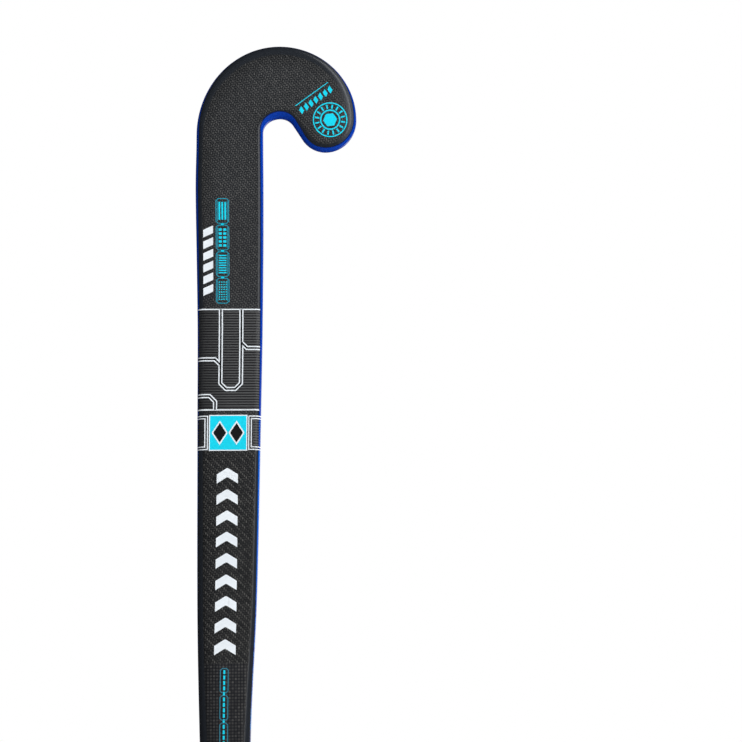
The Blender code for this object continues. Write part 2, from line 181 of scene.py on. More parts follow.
@dataclass
class StickForm:
    """Outside form of the stick: its outline, its sections and its bow.

    A drop is a distance below the top of the hook. Each column holds one field of the
    section, at the drops.
    """

    length: float = 927 * MM
    bend_start: float = 420 * MM
    head_flat: float = 90 * MM
    bend_curvature: float = 0.47
    hook_x: float = 39.8 * MM
    heel_drop: float = 63.9 * MM
    toe_drop: float = 52.3 * MM
    toe_x: float = 72.15 * MM
    toe_radius: float = 22.3 * MM
    toe_under_radius: float = 20.1 * MM
    crook_drop: float = 61.7 * MM
    crook_radius: float = 10.8 * MM
    least_corner: float = 0.6 * MM
    drops: tuple[float, ...] = mm(64, 100, 150, 190, 270, 390, 475, 545, 604, 927)
    columns: tuple[tuple[float, ...], ...] = (
        mm(23.85, 24.25, 23.8, 23.25, 22.4, 20.8, 17.9, 15.9, 15.0, 15.0),
        mm(3.55, 3.25, 3.5, 3.55, 2.75, 1.4, 0.2, 0.1, 0.0, 0.0),
        mm(20.0, 20.0, 20.0, 20.0, 20.2, 20.6, 22.2, 24.8, 26.0, 26.0),
        mm(5.0, 5.0, 5.0, 5.0, 5.2, 5.6, 7.2, 10.6, 13.0, 13.0),
        mm(5.0, 5.0, 5.0, 5.0, 5.1, 5.4, 6.6, 10.4, 15.0, 15.0),
        (2.3, 2.3, 2.3, 2.3, 2.28, 2.25, 2.15, 2.05, 2.0, 2.0),
    )
    heel_steps: int = 44
    toe_steps: int = 36
    fan_steps: int = 28
    corner_steps: int = 9
    back_steps: int = 26
    flat_shares: tuple[float, ...] = (0.0, 0.3, 0.5, 0.65, 0.75, 0.85, 0.93, 1.0)
    ring_pitch: float = 0.05 * MM
    clear_of_back: float = 500 * MM
    rings: dict[int, tuple] = field(default_factory=dict)

    def section_at(self, z: float) -> Section:
        """Section of the shaft at a height; the hook keeps that of the shaft's top."""
        return Section(*(smooth(self.length - z, self.drops, column) for column in self.columns))

    def lean(self, z: float) -> float:
        """Distance that the stick's middle plane comes forward of the handle's axis.

        Args:
            z: height.

        Returns:
            The distance towards -Y.
        """
        drop = self.length - z
        bent = max(0.0, self.bend_start - max(drop, self.head_flat))
        straight = max(0.0, self.head_flat - drop)
        return self.bend_curvature * (bent * bent / 2 + bent * straight)

    def place(self, station: Station, out: float, depth: float) -> Vector:
        """Point of the stick on a station.

        Args:
            station: the station.
            out: distance from the spine towards the outline.
            depth: distance behind the face.

        Returns:
            The point.
        """
        flat = station.spine + (station.edge - station.spine) * (out / station.radius)
        y = depth - station.section.thickness / 2 - self.lean(flat.y)
        return Vector((flat.x, y, flat.y))

    def side_station(self, z: float, side: Side) -> Station:
        """Station across the shaft.

        Args:
            z: height.
            side: the edge that it runs to.

        Returns:
            The station.
        """
        section = self.section_at(z)
        edge_x = section.centre_x + side.value * section.half_width
        return Station(Vector((section.centre_x, z)), Vector((edge_x, z)), section)

    def hook_stations(self) -> list[Station]:
        """Stations round the hook.

        Returns:
            The stations, from the shaft's heel side to its toe side.
        """
        section = self.section_at(self.length - self.heel_drop)
        heel = Vector((self.hook_x, self.length - self.heel_drop))
        toe = Vector((self.hook_x, self.length - self.toe_drop))
        toe_end = Vector((self.toe_x, toe.y))
        crook = Vector((self.hook_x, self.length - self.crook_drop))
        under = Vector((self.toe_x, toe.y - self.toe_radius + self.toe_under_radius))
        band = (self.crook_drop - self.crook_radius) / 2
        reach = self.hook_x - section.centre_x
        toe_reach = self.toe_x - self.hook_x

        def arc(centre: Vector, across: float, up: float, degrees: float) -> Vector:
            """Point of an ellipse at an angle from +X."""
            angle = math.radians(degrees)
            return centre + Vector((across * math.cos(angle), up * math.sin(angle)))

        crook_arc = partial(arc, crook, self.crook_radius, self.crook_radius)
        under_arc = partial(arc, under, self.toe_under_radius, self.toe_under_radius)
        tangent = under - crook
        flank_angle = math.degrees(
            math.atan2(tangent.y, tangent.x)
            + math.acos((self.crook_radius + self.toe_under_radius) / tangent.length)
        )
        low, high = under_arc(flank_angle + 180), crook_arc(flank_angle)
        flank = (high - low).length
        inner_length = flank + self.crook_radius * math.radians(90 - flank_angle)

        def inner_toe(share: float) -> Vector:
            """Point along the flank under the toe and the crook's first quarter."""
            past = share * inner_length - flank
            return low.lerp(high, 1 + past / flank) if past < 0 else crook_arc(
                flank_angle + math.degrees(past / self.crook_radius))

        def heel_spine(share: float) -> Vector:
            """Point of the spine over the heel."""
            return arc(heel, reach, self.heel_drop - band, 180 - 90 * share)

        def toe_spine(share: float) -> Vector:
            """Point of the spine over the toe."""
            return arc(toe, toe_reach, self.toe_drop - band, 90 - 90 * share)

        points = [(heel_spine(t), arc(heel, reach + section.half_width, self.heel_drop, 180 - 90 * t))
                  for t in shares(self.heel_steps)]
        points += [(toe_spine(t), arc(toe, toe_reach + self.toe_radius, self.toe_drop, 90 - 90 * t))
                   for t in shares(self.toe_steps)]
        points += [(toe_end, arc(toe_end, self.toe_radius, self.toe_radius, -90 * t))
                   for t in shares(self.fan_steps)]
        points += [(toe_end, under_arc(-90 + (flank_angle - 90) * t)) for t in shares(self.fan_steps)]
        points += [(toe_spine(1 - t), inner_toe(t)) for t in shares(self.toe_steps)]
        points += [(heel_spine(1 - t),
                    arc(crook, reach - section.half_width, self.crook_radius, 90 + 90 * t))
                   for t in (*shares(self.heel_steps), 1.0)]
        return [Station(spine, edge, section) for spine, edge in points]

    def stations(self, low: float, step: float, cuts: Iterable[float]) -> list[Station]:
        """Stations up the heel side from a height, round the hook, and back down.

        Args:
            low: lowest height.
            step: distance between stations on the shaft.
            cuts: heights that get a station of their own.

        Returns:
            The stations in order.
        """
        top = self.length - self.heel_drop
        count = round((top - low) / step)
        heights = [low + (top - low) * k / count for k in range(count)]
        for cut in cuts:
            nearest = min(range(1, count), key=lambda k: abs(heights[k] - cut))
            heights[nearest] = cut
        rising = [self.side_station(z, Side.HEEL) for z in heights]
        falling = [self.side_station(z, Side.TOE) for z in reversed(heights)]
        return rising + self.hook_stations() + falling

    def halves(self, station: Station, inset: float, split: float) -> tuple[list[Pair], ...]:
        """Half profile in two parts, which meet at an angle on the front corner.

        Args:
            station: the station.
            inset: depth below the surface.
            split: the angle, in radians from the face.

        Returns:
            The face's part from the spine and the back's up to its crown, each as pairs
            of distance out and depth.
        """
        section = station.section
        edge = station.radius - inset
        corner = max(section.corner - inset, self.least_corner)
        drop = section.rim - inset
        rise = section.thickness - inset - section.rim
        power = 2 / section.fullness
        quarter = math.pi / 2

        def turned(first: float, last: float, k: int) -> Pair:
            """One of the points between two angles on the front corner."""
            angle = first + (last - first) * k / self.corner_steps
            return edge - corner * (1 - math.sin(angle)), inset + drop * (1 - math.cos(angle))

        face = [((edge - corner) * share, inset) for share in self.flat_shares]
        face += [turned(0.0, split, k + 1) for k in range(self.corner_steps)]
        back = [turned(split, quarter, k) for k in range(self.corner_steps)]
        for k in range(self.back_steps):
            angle = quarter * k / self.back_steps
            out = edge * math.cos(angle) ** power
            back.append((out, section.rim + rise * math.sin(angle) ** power))
        return face, back + [(0.0, section.thickness - inset)]

    def ring(self, z: float) -> tuple[Section, list[Pair], list[float]]:
        """Half of the shaft's outline at a height, and the distance along it.

        Args:
            z: height.

        Returns:
            The section, its points from the face to the crown, and their distances.
        """
        key = round(z / self.ring_pitch)
        if key not in self.rings:
            station = self.side_station(key * self.ring_pitch, Side.TOE)
            face, back = self.halves(station, 0.0, math.pi / 2)
            half = face[:-1] + back[self.corner_steps:]
            runs = accumulate((math.dist(a, b) for a, b in zip(half, half[1:])), initial=0.0)
            self.rings[key] = (station.section, half, list(runs))
        return self.rings[key]

    def on_shaft(self, run: float, z: float, lift: float) -> Vector:
        """Point on the shaft, by the distance round it from the face's middle.

        Args:
            run: distance round, positive over the toe side.
            z: height.
            lift: distance off the surface.

        Returns:
            The point.
        """
        section, half, runs = self.ring(z)
        run = (run + runs[-1]) % (2 * runs[-1]) - runs[-1]
        k = min(max(bisect.bisect_right(runs, abs(run)), 1), len(runs) - 1)
        share = (abs(run) - runs[k - 1]) / (runs[k] - runs[k - 1])
        (out_a, deep_a), (out_b, deep_b) = half[k - 1], half[k]
        across, deep = out_b - out_a, deep_b - deep_a
        size = math.hypot(across, deep)
        out = out_a + across * share + deep / size * lift
        depth = deep_a + deep * share - across / size * lift
        y = depth - section.thickness / 2 - self.lean(z)
        return Vector((section.centre_x + math.copysign(1.0, run) * out, y, z))

    def handle_point(self, z: float, angle: float, stand_off: float) -> Vector:
        """Point off the oval handle.

        Args:
            z: height.
            angle: angle round the axis.
            stand_off: distance off the handle's surface.

        Returns:
            The point.
        """
        section = self.section_at(z)
        wide = section.half_width + stand_off
        deep = section.thickness / 2 + stand_off
        return Vector((section.centre_x + wide * math.cos(angle), deep * math.sin(angle), z))

    def face_wrap(self, level: Level, aside: float = 0.0) -> Wrap:
        """Way on to the face of the shaft for a print in millimetres from its middle."""
        return lambda across, up, lift: self.on_shaft(
            (across + aside) * MM, up * MM, (level.value + lift) * MM)

    def back_wrap(self, level: Level, aside: float = 0.0) -> Wrap:
        """Way on to the back of the shaft for a print in millimetres from its crown."""
        return lambda across, up, lift: self.on_shaft(
            self.ring(up * MM)[2][-1] + (across + aside) * MM, up * MM, (level.value + lift) * MM)

    def toe_wrap(self, level: Level, centre: Pair, turn: float, back: BVHTree | None) -> Wrap:
        """Way on to the toe for a print in millimetres from its own centre.

        Args:
            level: height off the surface.
            centre: place of the print's centre, in millimetres.
            turn: turn of the print, in degrees, as seen from its side.
            back: the back's surface, or None for the flat face.

        Returns:
            The way from the print to the surface.
        """
        spin = Matrix.Rotation(math.radians(turn), 2)
        half_thickness = self.columns[2][0] / 2

        def on_face(across: float, up: float, lift: float) -> Vector:
            """Point of the print on the face."""
            x, z = spin @ Vector((across, up)) * MM + Vector(centre) * MM
            return Vector((x, -half_thickness - self.lean(z) - (level.value + lift) * MM, z))

        def on_back(across: float, up: float, lift: float) -> Vector:
            """Point of the print on the back, straight along Y.

            Args:
                across, up: place in the print.
                lift: height off the print.

            Returns:
                The point.
            """
            turned = spin @ Vector((across, up))
            x, z = (centre[0] - turned.x) * MM, (centre[1] + turned.y) * MM
            start = Vector((x, self.clear_of_back, z))
            place, normal, _, _ = back.ray_cast(start, Vector((0, -1, 0)))
            return place + normal * (level.value + lift) * MM

        return on_back if back else on_face


class Graph:
    """Adds linked nodes to one node tree."""

    def __init__(self, tree: bpy.types.NodeTree) -> None:
        """Keeps the tree."""
        self.tree = tree

    def feed(self, slot: Socket, value: object) -> None:
        """Gives an input a link or a value of its own.

        Args:
            slot: the input.
            value: an output to link, a plain value, or None to leave it.
        """
        if isinstance(value, bpy.types.NodeSocket):
            self.tree.links.new(value, slot)
        elif value is not None:
            slot.default_value = value

    def add(self, kind: str, *values: object, **settings: object) -> bpy.types.Node:
        """Adds a node.

        Args:
            kind: the node's type.
            values: what its inputs get, in order.
            settings: its own properties.

        Returns:
            The node.
        """
        node = self.tree.nodes.new(kind)
        for name, value in settings.items():
            setattr(node, name, value)
        for slot, value in zip(node.inputs, values):
            self.feed(slot, value)
        return node

    def sum(self, operation: str, *values: object) -> Socket:
        """Output of a Math node."""
        return self.add("ShaderNodeMath", *values, operation=operation).outputs[0]

    def group(self, tree: bpy.types.NodeTree, *values: object) -> bpy.types.NodeOutputs:
        """Outputs of a shared group, whose inputs get the values in order."""
        return self.add("ShaderNodeGroup", *values, node_tree=tree).outputs

    def mix(self, factor: object, first: object, second: object) -> Socket:
        """Colour between two others, the second one where the factor is 1."""
        unused = [None] * 5
        return self.add("ShaderNodeMix", factor, *unused, first, second, data_type="RGBA").outputs[2]

    def fade(self, factor: object, first: object, second: object) -> Socket:
        """Number between two others, the second one where the factor is 1."""
        return self.add("ShaderNodeMix", factor, None, first, second).outputs[0]

    def ramp(self, value: object, low: float, high: float) -> Socket:
        """Smooth step from 0 where the value is low to 1 where it is high."""
        return self.add("ShaderNodeMapRange", value, low, high, 0.0, 1.0,
                        interpolation_type="SMOOTHSTEP").outputs[0]

    def noise(self, vector: object, scale: object, detail: float) -> Socket:
        """Value of a noise with some features per metre and some finer layers."""
        return self.add("ShaderNodeTexNoise", vector, None, scale, detail).outputs[0]

    def split(self, vector: object) -> bpy.types.NodeOutputs:
        """X, Y and Z of a vector."""
        return self.add("ShaderNodeSeparateXYZ", vector).outputs

    def join(self, *parts: object) -> Socket:
        """Vector of up to three numbers."""
        return self.add("ShaderNodeCombineXYZ", *parts).outputs[0]


NewTree = tuple[Graph, bpy.types.NodeOutputs, bpy.types.NodeInputs]


def new_tree(name: str, kind: str, inputs: dict[str, object], outputs: dict[str, object]) -> NewTree:
    """Empty node group with named sockets.

    Args:
        name: the group's name.
        kind: Shader or Geometry.
        inputs: value of each number, or kind of each other socket, by its name.
        outputs: kind of each socket by its name.

    Returns:
        The group's graph, what it is given, and what it has to give.
    """
    tree = bpy.data.node_groups.new(name, kind + "NodeTree")
    for way, sockets in (("INPUT", inputs), ("OUTPUT", outputs)):
        for label, value in sockets.items():
            sort = value if isinstance(value, str) else type(value).__name__.title()
            made = tree.interface.new_socket(name=label, in_out=way, socket_type="NodeSocket" + sort)
            if sort != value:
                made.default_value = value
    graph = Graph(tree)
    return graph, graph.add("NodeGroupInput").outputs, graph.add("NodeGroupOutput").inputs


class Effects:
    """Shader groups that several finishes share, each built once."""

    def __init__(self) -> None:
        """Builds the groups."""
        self.weave = self.build_weave()
        self.grain = self.build_grain()
        self.cells = self.build_cells()

    @staticmethod
    def build_weave() -> bpy.types.NodeTree:
        """Woven cloth read from X and Z.

        Returns:
            The group, which gives how high the yarn stands and its tone.
        """
        graph, given, result = new_tree(
            "woven_cloth", "Shader",
            {"Vector": "Vector", "Yarn Across": MM, "Yarn Up": MM, "Passes Over": 1.0,
             "Weft Share": 0.0, "Unevenness": 0.3},
            {"Height": "Float", "Tone": "Float"})
        vector, across, up, over, weft, uneven = given[:6]
        yarn_edge = (0.1, 0.9)
        place = graph.split(vector)
        column, row = graph.sum("DIVIDE", place["X"], across), graph.sum("DIVIDE", place["Z"], up)
        column_number, row_number = graph.sum("FLOOR", column), graph.sum("FLOOR", row)
        column_part, row_part = graph.sum("FRACT", column), graph.sum("FRACT", row)
        step = graph.sum("ADD", column_number, row_number)
        repeat = graph.sum("MULTIPLY", over, 2.0)
        warp_on_top = graph.sum("LESS_THAN", graph.sum("FLOORED_MODULO", step, repeat), over)
        along = graph.sum("DIVIDE", graph.sum("ADD", graph.sum("FLOORED_MODULO", step, over),
                                              graph.fade(warp_on_top, column_part, row_part)), over)
        beside = graph.fade(warp_on_top, row_part, column_part)

        def crown(share: Socket) -> Socket:
            """Round top of a yarn at a share of its length or width."""
            off = graph.sum("MULTIPLY", graph.sum("SUBTRACT", share, 0.5), 2.0)
            return graph.sum("SUBTRACT", 1.0, graph.sum("MULTIPLY", off, off))

        height = graph.sum("MULTIPLY", crown(along), crown(beside))
        yarn = graph.fade(warp_on_top, row_number, column_number)
        passes = graph.sum("FLOOR", graph.sum("DIVIDE", step, repeat))
        random = graph.add("ShaderNodeTexWhiteNoise", graph.join(yarn, passes, warp_on_top)).outputs[0]
        even = graph.sum("SUBTRACT", 1.0, graph.sum("MULTIPLY", uneven, random))
        shine = graph.sum("MULTIPLY", graph.fade(warp_on_top, weft, 1.0), even)
        graph.feed(result["Height"], height)
        graph.feed(result["Tone"], graph.sum("MULTIPLY", graph.ramp(height, *yarn_edge), shine))
        return graph.tree

    @staticmethod
    def build_grain() -> bpy.types.NodeTree:
        """Cloudy and fine unevenness of a made surface.

        Returns:
            The group, which gives clouds, their soft shade, fine specks and scuffs.
        """
        graph, given, result = new_tree(
            "surface_grain", "Shader",
            {"Vector": "Vector", "Cloud Scale": 40.0, "Fine Scale": 1500.0},
            {"Clouds": "Float", "Shade": "Float", "Fine": "Float", "Scuffs": "Float"})
        vector, cloud, fine = given[:3]
        shade_edge, scuff_edge, scuffed_patch = (0.3, 0.7), (0.62, 0.75), (0.5, 0.7)
        clouds = graph.noise(vector, cloud, 3.0)
        scuff_turn, scuffs_per_metre = (0.0, 0.6, 0.0), (600.0, 600.0, 40.0)
        stretch = graph.add("ShaderNodeMapping", vector, None, scuff_turn, scuffs_per_metre)
        lines = graph.noise(stretch.outputs[0], 1.0, 3.0)
        graph.feed(result["Clouds"], clouds)
        graph.feed(result["Shade"], graph.ramp(clouds, *shade_edge))
        graph.feed(result["Fine"], graph.noise(vector, fine, 2.0))
        graph.feed(result["Scuffs"], graph.sum(
            "MULTIPLY", graph.ramp(lines, *scuff_edge), graph.ramp(clouds, *scuffed_patch)))
        return graph.tree

    @staticmethod
    def build_cells() -> bpy.types.NodeTree:
        """Packed round cells, as of foam or moulded grain.

        Returns:
            The group, which gives how high a cell stands and its tone.
        """
        graph, given, result = new_tree(
            "packed_cells", "Shader", {"Vector": "Vector", "Cells Per Metre": 900.0},
            {"Height": "Float", "Tone": "Float"})
        cell_edge = (0.0, 0.7)
        cells = graph.add("ShaderNodeTexVoronoi", given[0], None, given[1]).outputs
        graph.feed(result["Height"], graph.ramp(cells["Distance"], *cell_edge))
        graph.feed(result["Tone"], graph.add("ShaderNodeSeparateColor", cells["Color"]).outputs[0])
        return graph.tree


class Coat(Graph):
    """Nodes of one material, round its own shader."""

    def __init__(self, made: bpy.types.Material, effects: Effects | None = None) -> None:
        """Finds the shader and reads Object coordinates.

        Args:
            made: the material.
            effects: the shared shader groups.
        """
        made.use_nodes = True
        super().__init__(made.node_tree)
        self.shader = made.node_tree.nodes["Principled BSDF"]
        self.coordinates = self.add("ShaderNodeTexCoord").outputs
        self.place = self.coordinates["Object"]
        self.effects = effects

    def set(self, **values: object) -> None:
        """Gives the shader's inputs links or values, with _ for the spaces in their names."""
        for name, value in values.items():
            self.feed(self.shader.inputs[name.replace("_", " ")], value)

    def read(self, name: str) -> Socket:
        """Mark that the mesh carries."""
        return self.add("ShaderNodeAttribute", attribute_name=name).outputs["Fac"]

    def grain(self, scales: Pair) -> bpy.types.NodeOutputs:
        """Shared grain, by its clouds and its fine specks per metre."""
        return self.group(self.effects.grain, self.place, *scales)

    def emboss(self, height: Socket, depth: float) -> None:
        """Lets a height pattern turn the shader's normal.

        Args:
            height: the pattern, from 0 to 1.
            depth: depth of the pattern, in metres.
        """
        bump = self.add("ShaderNodeBump", 1.0, depth)
        self.feed(bump.inputs["Height"], height)
        self.set(Normal=bump.outputs["Normal"])


@dataclass(frozen=True)
class Finish:
    """Finish with one main colour; each kind adds its own detail to the shader."""

    colour: Colour
    roughness: float

    def build(self, name: str, effects: Effects) -> bpy.types.Material:
        """Material of this finish.

        Args:
            name: the material's name.
            effects: the shared shader groups.

        Returns:
            The material.
        """
        made = bpy.data.materials.new(name)
        coat = Coat(made, effects)
        coat.set(Base_Color=self.colour, Roughness=self.roughness)
        self.dress(coat)
        return made

    def dress(self, coat: Coat) -> None:
        """Adds this kind's detail."""
        raise NotImplementedError

    def tint(self, share: float) -> Colour:
        """The main colour made lighter or darker by a factor."""
        return *(min(1.0, channel * share) for channel in self.colour[:3]), 1.0


@dataclass(frozen=True)
class Cloth:
    """One weave: its yarns, its turn, and the colours between and on the crossings."""

    yarn: float
    over: float
    turn: float
    ground: Colour
    crossing: Colour
    weft_share: float = 0.0
    unevenness: float = 0.4

    def lay(self, coat: Coat, place: Socket) -> tuple[Socket, Socket]:
        """Places the weave in a material.

        Args:
            coat: the material's nodes.
            place: coordinates, read across and up.

        Returns:
            Its colour and its height.
        """
        turned = coat.add("ShaderNodeMapping", place, None, (0.0, math.radians(self.turn), 0.0))
        woven = coat.group(coat.effects.weave, turned.outputs[0], self.yarn, self.yarn, self.over,
                           self.weft_share, self.unevenness)
        return coat.mix(woven["Tone"], self.ground, self.crossing), woven["Height"]


@dataclass(frozen=True)
class WovenFace(Finish):
    """Black laminate of the face: fine cloth above, coarser cloths down the shaft; painted shade on
    the rim, painted sheen at the toe.
    """

    cloths: tuple[Cloth, ...] = (
        Cloth(2.13 * MM, 1.0, 0.0, srgb(20, 23, 29), srgb(78, 77, 76), 0.7, 0.6),
        Cloth(1.285 * MM, 2.0, 0.0, srgb(18, 21, 25), srgb(90, 89, 86), 0.5, 0.7),
        Cloth(1.285 * MM, 2.0, 0.0, srgb(24, 28, 34), srgb(88, 88, 87), 0.85, 0.5),
    )
    borders: tuple[float, ...] = mm(491, 652)
    depth: float = 0.10 * MM
    specular: float = 0.5
    # Rim colour, darker than the weave: partly the smooth resin, partly painted shade.
    rim_colour: Colour = srgb(35, 39, 45)
    rim_roughness: float = 0.28
    # Painted shade: how dark the weave grows towards the rim.
    rim_shade: float = 0.6
    rim_edge: Pair = (0.9, 1.0)
    roll_edge: Pair = (0.1, 0.5)
    # Painted sheen: where the rolled toe turns lighter grey.
    roll_tone_edge: Pair = (0.2, 0.8)
    roll_depth: float = 2.3 * MM
    roll_power: float = 1.4
    # Painted sheen: lighter grey colour of the toe's rolled edge.
    roll_colour: Colour = srgb(70, 74, 79)
    grain_scales: Pair = (25.0, 1800.0)
    cloud_shades: Pair = (0.86, 1.0)
    roughness_change: float = 0.06

    def dress(self, coat: Coat) -> None:
        """Adds the cloths, each above its border, the smooth rim with painted shade, and the rolled
        toe with a painted sheen.

        Args:
            coat: the material's nodes.
        """
        up = coat.split(coat.place)["Z"]
        colour, height = self.cloths[0].lay(coat, coat.place)
        for cloth, border in zip(self.cloths[1:], self.borders):
            shade, stands = cloth.lay(coat, coat.place)
            above = coat.sum("GREATER_THAN", up, border)
            colour, height = coat.mix(above, colour, shade), coat.fade(above, height, stands)
        rim, roll = coat.read("rim"), coat.read("roll")
        smooth_shaded_rim = coat.sum(
            "MAXIMUM", coat.ramp(rim, *self.rim_edge), coat.ramp(roll, *self.roll_edge))
        grain = coat.grain(self.grain_scales)
        clouds = coat.fade(grain["Shade"], *self.cloud_shades)
        # Painted shade: the weave darkens towards the rim.
        clouds_and_painted_darkening = coat.sum("MULTIPLY", clouds, coat.fade(rim, 1.0, self.rim_shade))
        # Painted sheen on the rolled toe, mixed into the rim's colour.
        rolled = coat.ramp(roll, *self.roll_tone_edge)
        rim_resin_and_painted_tone = coat.mix(rolled, self.rim_colour, self.roll_colour)
        rough = coat.fade(grain["Fine"], self.roughness - self.roughness_change,
                          self.roughness + self.roughness_change)
        # Rim colour: smooth resin with painted shade, lighter where the toe's painted sheen lies.
        coat.set(Base_Color=coat.mix(smooth_shaded_rim, coat.mix(clouds_and_painted_darkening, BLACK, colour), rim_resin_and_painted_tone),
                 Roughness=coat.fade(smooth_shaded_rim, rough, self.rim_roughness),
                 Specular_IOR_Level=self.specular)
        fall = coat.sum("MULTIPLY", coat.sum("POWER", roll, self.roll_power),
                        self.roll_depth / self.depth)
        coat.emboss(coat.sum("SUBTRACT", coat.fade(smooth_shaded_rim, height, 0.5), fall), self.depth)


@dataclass(frozen=True)
class Weave(Finish):
    """Plain woven ply or laminate inside the stick."""

    cloth: Cloth
    depth: float = 0.08 * MM

    def dress(self, coat: Coat) -> None:
        """Adds one cloth, laid so that it doesn't smear on the sides.

        Args:
            coat: the material's nodes.
        """
        x, y, z = coat.split(coat.place)
        colour, height = self.cloth.lay(coat, coat.join(coat.sum("ADD", x, y), None, z))
        coat.set(Base_Color=colour)
        coat.emboss(height, self.depth)


@dataclass(frozen=True)
class Lacquer(Finish):
    """Smooth paint with a soft gloss, plain or with a speckled second colour."""

    speckle: Colour | None = None
    spot_scale: float = 820.0
    worm_scale: float = 656.0
    spot_edge: Pair = (0.54, 0.60)
    worm_edge: Pair = (0.05, 0.015)
    speckle_shares: Pair = (0.55, 1.15)
    specular: float = 0.45
    # Painted shadow along the seam: where it falls and how dark it is.
    seam_edge: Pair = (0.1, 0.8)
    seam_shade: float = 0.2
    grain_scales: Pair = (30.0, 900.0)
    cloud_shades: Pair = (0.92, 1.06)
    scuff_roughness: float = 0.14
    waviness: float = 0.008 * MM

    def dress(self, coat: Coat) -> None:
        """Adds the gloss, its slight waviness, the speckle and a painted shadow along the seam.

        Args:
            coat: the material's nodes.
        """
        grain = coat.grain(self.grain_scales)
        colour = coat.mix(grain["Shade"], *map(self.tint, self.cloud_shades))
        if self.speckle:
            spots = coat.ramp(coat.noise(coat.place, self.spot_scale, 1.0), *self.spot_edge)
            winding = coat.noise(coat.place, self.worm_scale, 0.0)
            worms = coat.ramp(coat.sum("ABSOLUTE", coat.sum("SUBTRACT", winding, 0.5)),
                              *self.worm_edge)
            shown = coat.sum("MULTIPLY", coat.sum("MAXIMUM", spots, worms),
                             coat.fade(grain["Fine"], *self.speckle_shares))
            colour = coat.mix(shown, colour, self.speckle)
        # Painted shadow: the paint darkens along the seam with the black face.
        seam = coat.ramp(coat.read("seam"), *self.seam_edge)
        scuffed = self.roughness + self.scuff_roughness
        coat.set(Base_Color=coat.mix(seam, colour, self.tint(self.seam_shade)),
                 Roughness=coat.fade(grain["Scuffs"], self.roughness, scuffed),
                 Specular_IOR_Level=self.specular)
        coat.emboss(grain["Fine"], self.waviness)


@dataclass(frozen=True)
class Ink(Finish):
    """Screen print: nearly even, or with painted shade that darkens it towards one side between two
    places across.
    """

    # Painted shade: where across the print darkens, and how dark it gets.
    fading: tuple[float, ...] = ()
    faded: float = 0.35
    specular: float = 0.3
    grain_scales: Pair = (60.0, 1500.0)
    cloud_shades: Pair = (0.95, 1.0)
    scuff_shade: float = 0.82
    roughness_change: Pair = (-0.05, 0.08)
    waviness: float = 0.02 * MM

    def dress(self, coat: Coat) -> None:
        """Adds slight unevenness of the ink, its scuffs and any painted shade across it.

        Args:
            coat: the material's nodes.
        """
        grain = coat.grain(self.grain_scales)
        shade = coat.mix(grain["Shade"], *map(self.tint, self.cloud_shades))
        shade = coat.mix(grain["Scuffs"], shade, self.tint(self.scuff_shade))
        # Painted shade: the print darkens towards lower X, the heel side.
        if self.fading:
            shown = coat.ramp(coat.split(coat.place)["X"], *self.fading)
            shade = coat.mix(shown, coat.mix(self.faded, BLACK, shade), shade)
        ends = [self.roughness + change for change in self.roughness_change]
        coat.set(Base_Color=shade, Specular_IOR_Level=self.specular,
                 Roughness=coat.fade(grain["Fine"], *ends))
        coat.emboss(grain["Fine"], self.waviness)


@dataclass(frozen=True)
class Cellular(Finish):
    """Foam or moulded polymer, with cells or grain of a stated size."""

    cells_per_metre: float
    depth: float
    spread: float
    sheen: float = 0.0
    mapped: bool = False
    grain_scales: Pair = (50.0, 2500.0)
    dust_grey: float = 0.12
    dust_tint: float = 0.8
    dust_share: float = 0.4
    roughness_change: float = 0.08

    def dress(self, coat: Coat) -> None:
        """Adds the cells and a little dust in them.

        Args:
            coat: the material's nodes.
        """
        if self.mapped:
            coat.place = coat.coordinates["UV"]
        cells = coat.group(coat.effects.cells, coat.place, self.cells_per_metre)
        grain = coat.grain(self.grain_scales)
        shade = coat.mix(cells["Tone"], self.tint(1 - self.spread), self.tint(1 + self.spread))
        dust = *(self.dust_grey + self.dust_tint * channel for channel in self.colour[:3]), 1.0
        dusty = coat.sum("MULTIPLY", grain["Scuffs"], self.dust_share)
        rough = coat.fade(grain["Clouds"], self.roughness - self.roughness_change,
                          self.roughness + self.roughness_change)
        coat.set(Base_Color=coat.mix(dusty, shade, dust), Roughness=rough, Sheen_Weight=self.sheen)
        coat.emboss(cells["Height"], self.depth)


